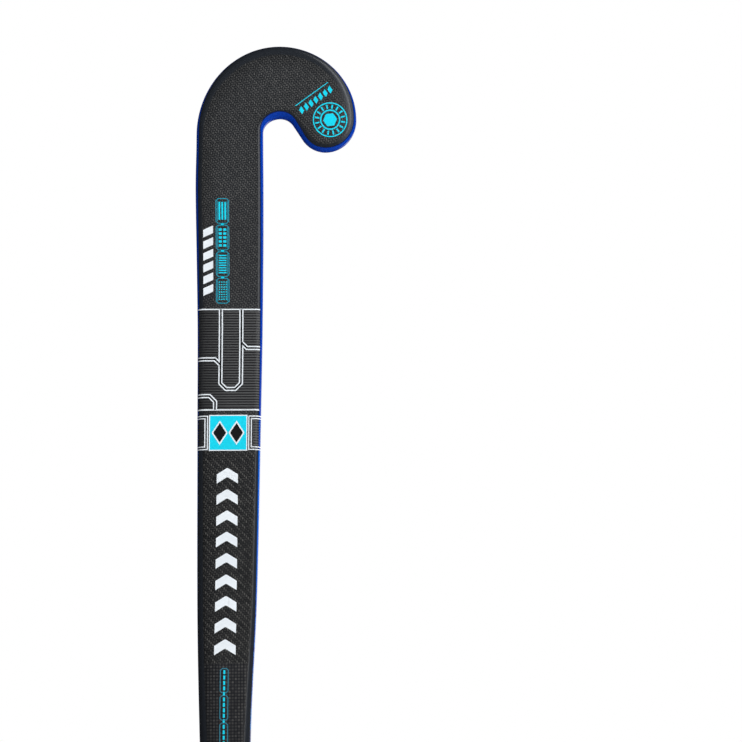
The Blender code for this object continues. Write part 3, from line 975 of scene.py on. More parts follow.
class Look(Enum):
    """Finishes of the stick, whose names in small letters are the materials' names."""

    FACE_WEAVE = WovenFace(srgb(37, 39, 42), 0.46)
    ROYAL_LACQUER = Lacquer(srgb(0, 59, 170), 0.21)
    STRIPE_GROUND = Lacquer(srgb(8, 98, 208), 0.21)
    SPECKLED_LACQUER = Lacquer(srgb(0, 50, 168), 0.21, srgb(10, 140, 238))
    AZURE_LACQUER = Lacquer(srgb(6, 104, 204), 0.21, srgb(10, 150, 236))
    NAVY_LACQUER = Lacquer(srgb(0, 42, 132), 0.21)
    WHITE_INK = Ink(srgb(242, 249, 254), 0.42)
    CYAN_INK = Ink(srgb(0, 222, 248), 0.42)
    TEAL_INK = Ink(srgb(52, 128, 150), 0.40)
    CELL_INK = Ink(srgb(8, 168, 196), 0.40)
    # The ribs carry painted shade, darker towards the heel side.
    RIB_INK = Ink(srgb(83, 84, 85), 0.42, mm(-24, 8))
    BLACK_INK = Ink(srgb(22, 23, 26), 0.45)
    NAVY_INK = Ink(srgb(0, 43, 148), 0.34)
    AZURE_INK = Ink(srgb(7, 104, 206), 0.34)
    PALE_AZURE_INK = Ink(srgb(12, 126, 222), 0.34)
    GRIP_POLYMER = Cellular(srgb(38, 39, 42), 0.62, 1400.0, 0.05 * MM, 0.12, 0.15, True)
    # Painted shade: dark discs stand for the shade inside the grip's holes.
    GRIP_HOLE = Cellular(srgb(10, 10, 11), 0.9, 1400.0, 0.02 * MM, 0.1)
    BAND_VINYL = Cellular(srgb(16, 52, 140), 0.35, 700.0, 0.02 * MM, 0.06)
    BUTT_RUBBER = Cellular(srgb(30, 31, 33), 0.68, 1800.0, 0.04 * MM, 0.12)
    RIGID_FOAM = Cellular(srgb(214, 200, 150), 0.85, 1100.0, 0.25 * MM, 0.18)
    SLEEVE_FOAM = Cellular(srgb(62, 64, 68), 0.9, 1600.0, 0.2 * MM, 0.2)
    BLADDER_FILM = Cellular(srgb(214, 218, 208), 0.32, 250.0, 0.05 * MM, 0.05)
    ARAMID_CLOTH = Weave(srgb(196, 160, 54), 0.55, Cloth(
        1.8 * MM, 1.0, 0.0, srgb(150, 120, 34), srgb(214, 178, 66), 0.7))
    INNER_CARBON = Weave(srgb(40, 41, 44), 0.40, Cloth(
        2.0 * MM, 2.0, 45.0, srgb(26, 27, 30), srgb(70, 71, 74), 0.4))


class Repeats:
    """Geometry Nodes trees that set out copies of a shape."""

    def __init__(self) -> None:
        """Builds both trees."""
        self.grid = self.build_grid()
        self.round = self.build_round()

    @staticmethod
    def build_grid() -> bpy.types.NodeTree:
        """Copies in rows and columns on the XY plane.

        Returns:
            The tree.
        """
        graph, given, result = new_tree(
            "copies_in_rows", "Geometry",
            {"Shape": "Geometry", "Columns": 1, "Rows": 1, "Pitch Across": 0.0, "Pitch Up": 0.0,
             "Material": "Material"}, {"Mesh": "Geometry"})
        columns = given["Columns"]
        index = graph.add("GeometryNodeInputIndex").outputs[0]
        row = graph.sum("FLOOR", graph.sum("DIVIDE", graph.sum("ADD", index, 0.01), columns))
        spot = graph.join(
            graph.sum("MULTIPLY", graph.sum("FLOORED_MODULO", index, columns), given["Pitch Across"]),
            graph.sum("MULTIPLY", row, given["Pitch Up"]))
        Repeats.close(graph, given, result, graph.sum("MULTIPLY", columns, given["Rows"]), spot)
        return graph.tree

    @staticmethod
    def build_round() -> bpy.types.NodeTree:
        """Copies round an ellipse on the XY plane, each turned outwards.

        Returns:
            The tree.
        """
        graph, given, result = new_tree(
            "copies_round", "Geometry",
            {"Shape": "Geometry", "Count": 8, "Radius X": 1.0, "Radius Y": 1.0,
             "Material": "Material"}, {"Mesh": "Geometry"})
        _, count, radius_x, radius_y = given[:4]
        index = graph.add("GeometryNodeInputIndex").outputs[0]
        angle = graph.sum("MULTIPLY", graph.sum("DIVIDE", index, count), math.tau)
        cosine, sine = graph.sum("COSINE", angle), graph.sum("SINE", angle)
        spot = graph.join(graph.sum("MULTIPLY", radius_x, cosine),
                          graph.sum("MULTIPLY", radius_y, sine))
        facing = graph.sum("ARCTAN2", graph.sum("MULTIPLY", radius_x, sine),
                           graph.sum("MULTIPLY", radius_y, cosine))
        Repeats.close(graph, given, result, count, spot, graph.join(None, None, facing))
        return graph.tree

    @staticmethod
    def close(graph: Graph, given: bpy.types.NodeOutputs, result: bpy.types.NodeInputs,
              count: Socket, spot: Socket, turn: Socket | None = None) -> None:
        """Ends a tree in real copies of its shape, in its material.

        Args:
            graph: the tree's graph.
            given: its inputs.
            result: its output.
            count: how many copies.
            spot: place of each.
            turn: turn of each.
        """
        points = graph.add("GeometryNodePoints", count, spot)
        copies = graph.add("GeometryNodeInstanceOnPoints", points.outputs[0], None, given["Shape"])
        graph.feed(copies.inputs["Rotation"], turn)
        real = graph.add("GeometryNodeRealizeInstances", copies.outputs[0])
        dressed = graph.add("GeometryNodeSetMaterial", real.outputs[0])
        graph.feed(dressed.inputs["Material"], given["Material"])
        graph.feed(result[0], dressed.outputs[0])

    @staticmethod
    def run(tree: bpy.types.NodeTree, shape: bmesh.types.BMesh, **values: object) -> bpy.types.Mesh:
        """Plain mesh of a tree's copies of a shape.

        Args:
            tree: one of the trees.
            shape: the shape, which is used up.
            values: the tree's inputs, with _ for the spaces in their names.

        Returns:
            The mesh.
        """
        data = bpy.data.meshes.new("shape")
        shape.to_mesh(data)
        shape.free()
        holder = bpy.data.objects.new("shape", data)
        bpy.context.scene.collection.objects.link(holder)
        modifier = holder.modifiers.new("copies", "NODES")
        modifier.node_group = tree
        for item in tree.interface.items_tree:
            key = item.name.replace(" ", "_")
            if item.in_out == "INPUT" and key in values:
                modifier[item.identifier] = values[key]
        graph = bpy.context.evaluated_depsgraph_get()
        made = bpy.data.meshes.new_from_object(holder.evaluated_get(graph))
        holder.modifiers.remove(modifier)
        bpy.data.objects.remove(holder)
        bpy.data.meshes.remove(data)
        return made


def piece(name: str, mesh: bmesh.types.BMesh, looks: Sequence[bpy.types.Material],
          replaces: str | None = None, sharp: float = 40.0) -> None:
    """Makes a mesh a piece of the stick.

    Args:
        name: the piece's name.
        mesh: its mesh, which is used up.
        looks: its materials.
        replaces: the solid that it stands for.
        sharp: angle from which edges stay sharp, in degrees.
    """
    data = bpy.data.meshes.new(name)
    mesh.to_mesh(data)
    mesh.free()
    data.shade_smooth()
    data.set_sharp_from_angle(angle=math.radians(sharp))
    for look in looks:
        data.materials.append(look)
    made = bpy.data.objects.new(name, data)
    bpy.context.scene.collection.objects.link(made)
    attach(made, BODY)
    if replaces:
        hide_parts(replaces)
    log.info("%s: %d faces", name, len(data.polygons))


class Flat:
    """Flat drawing in millimetres across and up, made of small quads."""

    least_mitre = 0.3

    def __init__(self) -> None:
        """Starts with nothing drawn."""
        self.mesh = bmesh.new()

    def area(self, left: float, right: float, low: Bound, high: Bound, step: float = 1.0) -> "Flat":
        """Fills what lies between two curves.

        Args:
            left, right: ends across.
            low, high: the curves, as numbers or functions of the place across.
            step: longest quad.

        Returns:
            This drawing.
        """
        count = max(1, math.ceil((right - left) / step))
        columns = []
        for k in range(count + 1):
            x = left + (right - left) * k / count
            ends = [bound(x) if callable(bound) else bound for bound in (low, high)]
            columns.append([Vector((x, end, 0.0)) for end in ends])
        return self.strip(columns, step)

    def slash(self, side: float, slope: float, height: float) -> "Flat":
        """Fills a slanted bar of a half width, from zero in its middle to a height."""
        return self.area(-side, side, lambda x: slope * x, lambda x: slope * x + height)

    def bar(self, wide: float, tall: float) -> "Flat":
        """Fills an upright box from zero."""
        return self.area(0.0, wide, 0.0, tall)

    def arrow(self, side: float, rise: float, bar: float) -> "Flat":
        """Fills an arrow of a half width, by its point's rise and the depth of its bars."""
        return self.area(-side, side, lambda x: rise * (1 - abs(x) / side),
                         lambda x: rise * (1 - abs(x) / side) + bar)

    def lozenge(self, middle: Pair, side: float, tall: float, slope: float, step: float,
                level: float = 0.0) -> "Flat":
        """Fills a shape that gets lower towards both sides.

        Args:
            middle: its middle.
            side, tall: half its width, and half its height in the middle.
            slope: how steeply its edges close in.
            step: longest quad.
            level: half width of its part with level edges.

        Returns:
            This drawing.
        """
        x0, y0 = middle

        def half(x: float) -> float:
            """Half height at a place across."""
            return tall - slope * max(0.0, abs(x - x0) - level)

        return self.area(x0 - side, x0 + side, lambda x: y0 - half(x), lambda x: y0 + half(x), step)

    def rib(self, left: float, right: float, width: float, height: float) -> "Flat":
        """Draws one straight rib with a rounded top, its lower edge at zero.

        Args:
            left, right: ends across.
            width: width of the rib.
            height: how far its middle stands up.

        Returns:
            This drawing.
        """
        count = math.ceil(right - left)
        profile = ((0.0, 0.0), (0.2, 0.75), (0.5, 1.0), (0.8, 0.75), (1.0, 0.0))
        quads(self.mesh, [[
            self.mesh.verts.new((left + (right - left) * k / count, width * across, height * up))
            for across, up in profile] for k in range(count + 1)])
        return self

    def stroke(self, points: Sequence[Pair], width: float, closed: bool = False,
               step: float = 1.0) -> "Flat":
        """Draws a line with mitred corners.

        Args:
            points: its corners.
            width: its width.
            closed: whether it returns to its start.
            step: longest quad.

        Returns:
            This drawing.
        """
        corners = [Vector((x, y, 0.0)) for x, y in points]
        count = len(corners)
        columns = []
        for k, corner in enumerate(corners):
            before = (corner - corners[k - 1]).normalized() if k or closed else None
            after = corners[(k + 1) % count] - corner if k < count - 1 or closed else None
            after = after.normalized() if after else before
            before = before or after
            normal = Vector((-(before + after).y, (before + after).x, 0.0)).normalized()
            mitre = max(self.least_mitre, normal.dot(Vector((-after.y, after.x, 0.0))))
            offset = normal * (width / 2 / mitre)
            columns.append([corner - offset, corner + offset])
        if closed:
            columns.append(columns[0])
        dense = []
        for a, b in zip(columns, columns[1:]):
            parts = shares(max(1, math.ceil((b[0] - a[0]).length / step)))
            dense += [[a[0].lerp(b[0], part), a[1].lerp(b[1], part)] for part in parts]
        return self.strip(dense + [columns[-1]], width + step)

    def frame(self, side: float, high: float, width: float, cut: float) -> "Flat":
        """Draws the outline of a box with cut corners, its lower side at zero.

        Args:
            side: half the width of the box.
            high: its height.
            width: the line's width.
            cut: size of the corner cuts.

        Returns:
            This drawing.
        """
        half = [(side - cut, 0.0), (side, cut), (side, high - cut), (side - cut, high)]
        return self.stroke([(cut - side, 0.0), *half, *((-x, y) for x, y in half[:0:-1])], width, True)

    def strip(self, columns: Sequence[Sequence[Vector]], step: float) -> "Flat":
        """Fills the quads between pairs of points.

        Args:
            columns: pairs of points, lower then upper.
            step: longest side of a quad up the columns.

        Returns:
            This drawing.
        """
        tallest = max((b - a).length for a, b in columns)
        count = max(1, math.ceil(tallest / step))
        quads(self.mesh, [[self.mesh.verts.new(a.lerp(b, k / count)) for k in range(count + 1)]
                          for a, b in columns])
        return self

    def add(self, mesh: bpy.types.Mesh, shift: Pair = (0.0, 0.0)) -> "Flat":
        """Takes in a flat mesh.

        Args:
            mesh: the mesh, which is used up.
            shift: how far to move it.

        Returns:
            This drawing.
        """
        mesh.transform(Matrix.Translation((*shift, 0.0)))
        self.mesh.from_mesh(mesh)
        bpy.data.meshes.remove(mesh)
        return self

    def lay(self, name: str, wrap: Wrap, look: bpy.types.Material) -> None:
        """Lays the drawing on the stick as a piece.

        Args:
            name: the piece's name.
            wrap: way from the drawing to the surface.
            look: its material.
        """
        bmesh.ops.remove_doubles(self.mesh, verts=self.mesh.verts, dist=MM)
        for vertex in self.mesh.verts:
            vertex.co = wrap(*vertex.co)
        piece(name, self.mesh, [look])


@dataclass
class Laminates:
    """The two outer shells: black face and lacquered back.

    A tuck is how far inside the outline the black face ends.
    """

    form: StickForm
    looks: Looks
    low: float = 5.3 * MM
    wall: float = 1.4 * MM
    step: float = 6 * MM
    weld: float = 0.01 * MM
    tuck_heights: tuple[float, ...] = mm(452, 600, 700, 840)
    toe_tucks: tuple[float, ...] = mm(0.7, 1.5, 1.9, 2.4)
    heel_tucks: tuple[float, ...] = mm(0.2, 0.5, 1.1, 1.9)
    top_tuck: float = 1.3 * MM
    under_xs: tuple[float, ...] = mm(45, 65)
    under_tucks: tuple[float, ...] = mm(1.4, -0.3)
    # Widths of the smooth rim band, which also carries the face's painted shade; wider at the top and
    # heel side, where that shade is deepest.
    fade: float = 2.0 * MM
    top_fade: float = 8.0 * MM
    heel_fade: float = 10.0 * MM
    smooth_heights: tuple[float, ...] = mm(650, 870)
    smooth_shares: tuple[float, ...] = (0.65, 0.8)
    top_share: float = 0.6
    # Widths of the painted shadow along the seam, from the heel side to the toe side.
    seams: tuple[float, ...] = mm(0.4, 1.3)
    # Width and start of the toe's rolled band, which gives a bump and a painted sheen.
    roll: float = 11.0 * MM
    roll_start: tuple[float, ...] = mm(25, 55)
    zones: tuple[tuple[float, Look], ...] = (
        (0.0, Look.NAVY_LACQUER),
        (446 * MM, Look.AZURE_LACQUER),
        (460 * MM, Look.SPECKLED_LACQUER),
        (535 * MM, Look.STRIPE_GROUND),
        (639 * MM, Look.ROYAL_LACQUER),
    )

    def build(self) -> BVHTree:
        """Builds both shells.

        Returns:
            The back's surface, to lay prints on.
        """
        stations = self.form.stations(self.low, self.step, [height for height, _ in self.zones[1:]])
        piece("face_laminate", self.shell(stations, Half.FACE), [self.looks[Look.FACE_WEAVE]],
              "face_shell")
        back = self.shell(stations, Half.BACK)
        for side in back.faces:
            middle = side.calc_center_median().z
            side.material_index = sum(middle > height for height, _ in self.zones) - 1
        surface = BVHTree.FromBMesh(back)
        paints = [self.looks[look] for _, look in self.zones]
        piece("back_laminate", back, paints, "back_shell")
        return surface

    def parting(self, station: Station) -> float:
        """Angle on the front corner where the black face ends.

        Args:
            station: the station.

        Returns:
            The angle, in radians from the face.
        """
        reach = station.reach
        toe, heel = (smooth(station.spine.y, self.tuck_heights, tucks)
                     for tucks in (self.toe_tucks, self.heel_tucks))
        under = smooth(station.edge.x, self.under_xs, self.under_tucks)
        upright = under if reach.y < 0 else self.top_tuck
        tuck = heel + (toe - heel) * (1 + reach.x) / 2 - upright * reach.y
        return math.asin(1 - max(0.0, tuck) / station.section.corner)

    def marks(self, station: Station, point: Pair, meeting: Pair) -> tuple[float, ...]:
        """Marks that a point of a shell carries for its finish.

        Args:
            station: the point's station.
            point: its distance out and depth.
            meeting: those of the point where the shells meet.

        Returns:
            How far it is into the smooth rim, which carries painted shade, the toe's rolled edge,
            which carries a painted sheen, and the painted shadow along the seam.
        """
        reach, inwards = station.reach, station.radius - point[0]
        # The rim band, and with it the painted shade, is wider at the top and heel side.
        width = self.fade + self.top_fade * max(0.0, reach.y) + self.heel_fade * max(0.0, -reach.x)
        bare = smooth(station.spine.y, self.smooth_heights, self.smooth_shares)
        bare += self.top_share * max(0.0, reach.y)
        rim = (station.section.corner * bare - inwards) / width + 1
        toe = smooth(station.spine.x, self.roll_start, (0.0, 1.0)) * max(0.0, reach.x)
        # Painted shadow along the seam, wider on the toe side.
        seam = 1 - math.dist(point, meeting) / smooth(reach.x, (-1.0, 1.0), self.seams)
        return min(1.0, max(0.0, rim)), toe * max(0.0, 1 - inwards / self.roll), max(0.0, seam)

    def shell(self, stations: Sequence[Station], half: Half) -> bmesh.types.BMesh:
        """Closed laminate between an outer and an inner skin.

        Args:
            stations: the stations round the stick.
            half: which of the shells.

        Returns:
            The mesh.
        """
        mesh = bmesh.new()
        layers = [mesh.verts.layers.float.new(name) for name in ("rim", "roll", "seam")]
        skins = []
        for inset in (0.0, self.wall):
            grid = []
            for station in stations:
                profile = self.form.halves(station, inset, self.parting(station))[half.value]
                row = [mesh.verts.new(self.form.place(station, *point)) for point in profile]
                for vertex, point in zip(row, profile):
                    marks = self.marks(station, point, profile[half.value - 1])
                    for layer, mark in zip(layers, marks):
                        vertex[layer] = mark
                grid.append(row)
            quads(mesh, grid)
            skins.append(grid)
        outer, inner = skins
        walls = [(outer[0], inner[0]), (outer[-1], inner[-1])]
        for side in (0, -1):
            if (outer[0][side].co - outer[-1][side].co).length > self.wall:
                walls.append([[row[side] for row in grid] for grid in skins])
        for wall in walls:
            quads(mesh, wall)
        bmesh.ops.remove_doubles(mesh, verts=mesh.verts, dist=self.weld)
        bmesh.ops.dissolve_degenerate(mesh, edges=mesh.edges, dist=self.weld)
        bmesh.ops.recalc_face_normals(mesh, faces=mesh.faces)
        return mesh


@dataclass(frozen=True)
class Copies:
    """Rows and columns of one shape, with the place of the first."""

    place: Pair
    rows: int
    pitch_up: float = 0.0
    columns: int = 1
    pitch_across: float = 0.0


@dataclass
class Prints:
    """What all prints have in common. Their sizes are in millimetres."""

    form: StickForm
    repeats: Repeats
    looks: Looks

    def set_out(self, flat: Flat, shape: Flat, ink: Look, copies: Copies) -> Flat:
        """Adds copies of a shape to a drawing.

        Args:
            flat: the drawing.
            shape: the shape, which is used up.
            ink: their finish.
            copies: how they are set out.

        Returns:
            The drawing.
        """
        made = self.repeats.run(
            self.repeats.grid, shape.mesh, Material=self.looks[ink], Columns=copies.columns,
            Rows=copies.rows, Pitch_Across=copies.pitch_across, Pitch_Up=copies.pitch_up)
        return flat.add(made, copies.place)

    def rows(self, name: str, wrap: Wrap, ink: Look, shape: Flat, copies: Copies) -> None:
        """Lays copies of a shape as a piece."""
        self.set_out(Flat(), shape, ink, copies).lay(name, wrap, self.looks[ink])


@dataclass
class ShaftBadge(Prints):
    """Cyan badge with a white border and two diamonds in outline."""

    low: float
    high: float
    half_width: float
    aside: float
    border: float = 0.7
    outline: Pair = (5.4, 8.6)
    diamond: Pair = (4.3, 6.9)
    diamond_slope: float = 1.5
    diamond_places: Pair = (-5.9, 5.9)

    def build(self, name: str, wrap: Callable[[Level, float], Wrap], ground: Look) -> None:
        """Lays the badge.

        Args:
            name: its name.
            wrap: gives the way on to the surface at a level and a distance aside.
            ground: finish of the diamonds.
        """
        side = self.half_width
        for part, level, ink, margin in (("_border", Level.FIRST, Look.WHITE_INK, 0.0),
                                         ("", Level.SECOND, Look.CYAN_INK, self.border)):
            box = Flat().area(-side + margin, side - margin, self.low + margin, self.high - margin)
            box.lay(name + part, wrap(level, self.aside), self.looks[ink])
        for part, level, ink, size in (("_outlines", Level.THIRD, Look.WHITE_INK, self.outline),
                                       ("_diamonds", Level.FOURTH, ground, self.diamond)):
            flat = Flat()
            for middle in self.diamond_places:
                place = (middle, (self.low + self.high) / 2)
                flat.lozenge(place, *size, slope=self.diamond_slope, step=0.9)
            flat.lay(name + part, wrap(level, self.aside), self.looks[ink])


@dataclass
class ToeBadge(Prints):
    """Round badge of plain rings and rays, with slanted dashes and a bar over it."""

    rays: int = 16
    ray_radius: float = 9.4
    ray: Pair = (1.5, 0.55)
    rings: tuple[tuple[float, float, int], ...] = ((12.0, 0.8, 48), (6.8, 1.0, 36))
    heart: Pair = (4.4, 5.0)
    heart_slope: float = 0.57
    dash: Triple = (1.35, 0.5, 1.9)
    dashes: Copies = Copies((-12.6, 17.4), 1, columns=7, pitch_across=4.2)
    bar: Triple = (14.4, 22.2, 22.7)

    def build(self, name: str, wrap: Wrap) -> None:
        """Lays the badge.

        Args:
            name: its name.
            wrap: way on to the toe.
        """
        long, wide = self.ray
        ray = Flat().area(-long, long, -wide, wide, 0.75)
        flat = Flat().add(self.repeats.run(
            self.repeats.round, ray.mesh, Count=self.rays, Radius_X=self.ray_radius,
            Radius_Y=self.ray_radius, Material=self.looks[Look.CYAN_INK]))
        for radius, width, corners in self.rings:
            ring = [(radius * math.cos(math.tau * share), radius * math.sin(math.tau * share))
                    for share in shares(corners)]
            flat.stroke(ring, width, closed=True, step=2.0)
        flat.lozenge((0.0, 0.0), *self.heart, slope=self.heart_slope, step=0.8)
        side, slope, tall = self.dash
        dash = Flat().area(-side, side, lambda x: slope * x - tall, lambda x: slope * x + tall, 0.8)
        self.set_out(flat, dash, Look.CYAN_INK, self.dashes)
        half, low, high = self.bar
        flat.area(-half, half, low, high).lay(name, wrap, self.looks[Look.CYAN_INK])


@dataclass(frozen=True)
class Bracket:
    """Double frame beside the face's badge, by distances from the face's middle.

    Each line of the frame starts at an inner end and stops short of the back's middle.
    """

    name: str
    side: Side
    inner: Pair
    short: Pair
    ribs_end: float
    bars_start: float


@dataclass
class FacePrints(Prints):
    """Print on the black face of the shaft and the toe."""

    heel_edge: float = -23.0
    toe_edge: float = 21.3
    panel_low: float = 667.2
    panel_high: float = 738.4
    panel_margin: float = 0.4
    rib: Pair = (1.05, 0.10)
    ribs: Copies = Copies((0.0, 667.6), 39, 1.85)
    line: float = 0.85
    channel: float = 1.2
    channels: tuple[tuple[Pair, ...], ...] = (
        ((heel_edge, 703.0), (-10.5, 703.0), (-6.5, 699.0), (-6.5, panel_high)),
        ((-6.5, 699.0), (-6.5, 686.0), (-2.5, 682.0), (4.0, 682.0), (8.0, 686.0), (8.0, panel_high)),
        ((8.0, 715.0), (12.0, 711.0), (toe_edge, 711.0)),
        ((heel_edge, 677.0), (-14.0, 677.0), (-10.0, 673.0), (-10.0, panel_low)),
    )
    badge: tuple[float, ...] = (638.4, 663.7, 13.5, -0.6)
    brackets: tuple[Bracket, ...] = (
        Bracket("heel", Side.HEEL, (15.1, 16.9), (15.8, 17.2), 23.0, 23.5),
        Bracket("toe", Side.TOE, (13.9, 15.7), (13.6, 15.0), 21.3, 21.8),
    )
    bracket_middle: float = 650.0
    bracket_heights: tuple[Pair, ...] = ((639.3, 662.8), (641.1, 661.0))
    bracket_line: float = 0.7
    bracket_gaps: Pair = (1.0, 0.9)
    bracket_ribs: Copies = Copies((0.0, 642.2), 10, 1.85)
    bracket_bar: float = 0.8
    bracket_bars: Copies = Copies((0.0, 642.1), 11, 1.7)
    arrow: Triple = (7.4, 4.6, 6.4)
    arrows: Copies = Copies((-0.8, 496.6), 9, 14.85)
    cell: tuple[float, ...] = (4.5, 17.6, 0.45, 1.5)
    cells: Copies = Copies((-5.2, 742.9), 4, 18.9)
    cell_line: Pair = (0.4, 14.6)
    cell_lines: Copies = Copies((-8.9, 744.4), 4, 18.9, 2, 7.0)
    cell_bars: tuple[tuple[Pair, Copies], ...] = (
        ((0.85, 0.85), Copies((-7.9, 745.2), 8, 1.75, 4, 1.6)),
        ((5.4, 0.85), Copies((-7.9, 764.1), 8, 1.75)),
        ((2.2, 1.7), Copies((-7.9, 783.1), 5, 2.8, 2, 3.2)),
        ((1.2, 12.6), Copies((-7.9, 802.2), 1, 0.0, 3, 2.1)),
        ((2.2, 1.1), Copies((-6.3, 760.6), 3, 18.9)),
    )
    slash: Triple = (3.5, 0.45, 5.4)
    slashes: Copies = Copies((-15.4, 749.6), 6, 8.3)
    slim_cell: tuple[float, ...] = (2.7, 16.4, 0.55, 1.2)
    slim_cells: Copies = Copies((-0.9, 434.4), 3, 18.4)
    dash: Pair = (1.3, 2.6)
    dashes: Copies = Copies((-1.55, 436.0), 14, 3.68)
    toe_badge: Pair = (75.3, 873.6)
    toe_badge_turn: float = 36.0

    def build(self) -> None:
        """Draws and lays each print."""
        first, shared = self.form.face_wrap(Level.FIRST), (self.form, self.repeats, self.looks)
        self.ribbed_panel()
        ShaftBadge(*shared, *self.badge).build("face_badge", self.form.face_wrap, Look.BLACK_INK)
        self.side_brackets()
        self.rows("face_arrows", first, Look.WHITE_INK, Flat().arrow(*self.arrow), self.arrows)
        self.data_cells()
        self.rows("face_slim_cells", first, Look.TEAL_INK, Flat().frame(*self.slim_cell),
                  self.slim_cells)
        self.rows("face_dashes", first, Look.CYAN_INK, Flat().bar(*self.dash), self.dashes)
        ToeBadge(*shared).build("face_toe_badge", self.form.toe_wrap(
            Level.FIRST, self.toe_badge, self.toe_badge_turn, None))

    def ribbed_panel(self) -> None:
        """Ribs across the whole face, parted by white-edged dark channels."""
        toe, heel, face = self.toe_edge, self.heel_edge, self.form.face_wrap
        Flat().area(heel, toe, self.panel_low - self.panel_margin,
                    self.panel_high + self.panel_margin).lay(
            "face_rib_ground", face(Level.FIRST), self.looks[Look.BLACK_INK])
        self.rows("face_ribs", face(Level.SECOND), Look.RIB_INK, Flat().rib(heel, toe, *self.rib),
                  self.ribs)
        lines, fills = Flat(), Flat()
        for points in self.channels:
            lines.stroke(points, self.channel + 2 * self.line)
            fills.stroke(points, self.channel)
        for up in (self.panel_low, self.panel_high):
            lines.area(heel, toe, up - self.line / 2, up + self.line / 2)
        lines.lay("face_channel_lines", face(Level.THIRD), self.looks[Look.WHITE_INK])
        fills.lay("face_channels", face(Level.FOURTH), self.looks[Look.BLACK_INK])

    def side_brackets(self) -> None:
        """Double white frames from each side of the face's badge round to the back's."""
        face = self.form.face_wrap
        half = self.form.ring(self.bracket_middle * MM)[2][-1] / MM
        for bracket in self.brackets:
            sign, flat = bracket.side.value, Flat()
            outers = [half - short for short in bracket.short]
            for inner, outer, (low, high) in zip(bracket.inner, outers, self.bracket_heights):
                corners = [(sign * inner, low), (sign * outer, low), (sign * outer, high),
                           (sign * inner, high)]
                flat.stroke(corners[::sign], self.bracket_line, closed=True)
            flat.lay(f"{bracket.name}_bracket", face(Level.SECOND), self.looks[Look.WHITE_INK])
            start, end = bracket.inner[1] + self.bracket_gaps[0], outers[1] - self.bracket_gaps[1]
            ribs = Flat().rib(*sorted((sign * start, sign * bracket.ribs_end)), *self.rib)
            self.rows(f"{bracket.name}_bracket_ribs", face(Level.FIRST), Look.RIB_INK, ribs,
                      self.bracket_ribs)
            left, right = sorted((sign * bracket.bars_start, sign * end))
            self.rows(f"{bracket.name}_bracket_bars", face(Level.FIRST), Look.AZURE_INK,
                      Flat().area(left, right, 0.0, self.bracket_bar), self.bracket_bars)

    def data_cells(self) -> None:
        """Column of teal outlined cells with cyan bars, and white slanted bars beside it."""
        wrap, outlines, marks = self.form.face_wrap(Level.FIRST), Flat(), Flat()
        self.set_out(outlines, Flat().frame(*self.cell), Look.CELL_INK, self.cells)
        self.set_out(outlines, Flat().bar(*self.cell_line), Look.CELL_INK, self.cell_lines)
        outlines.lay("face_cells", wrap, self.looks[Look.CELL_INK])
        for size, copies in self.cell_bars:
            self.set_out(marks, Flat().bar(*size), Look.CYAN_INK, copies)
        marks.lay("face_cell_marks", wrap, self.looks[Look.CYAN_INK])
        self.rows("face_slashes", wrap, Look.WHITE_INK, Flat().slash(*self.slash), self.slashes)


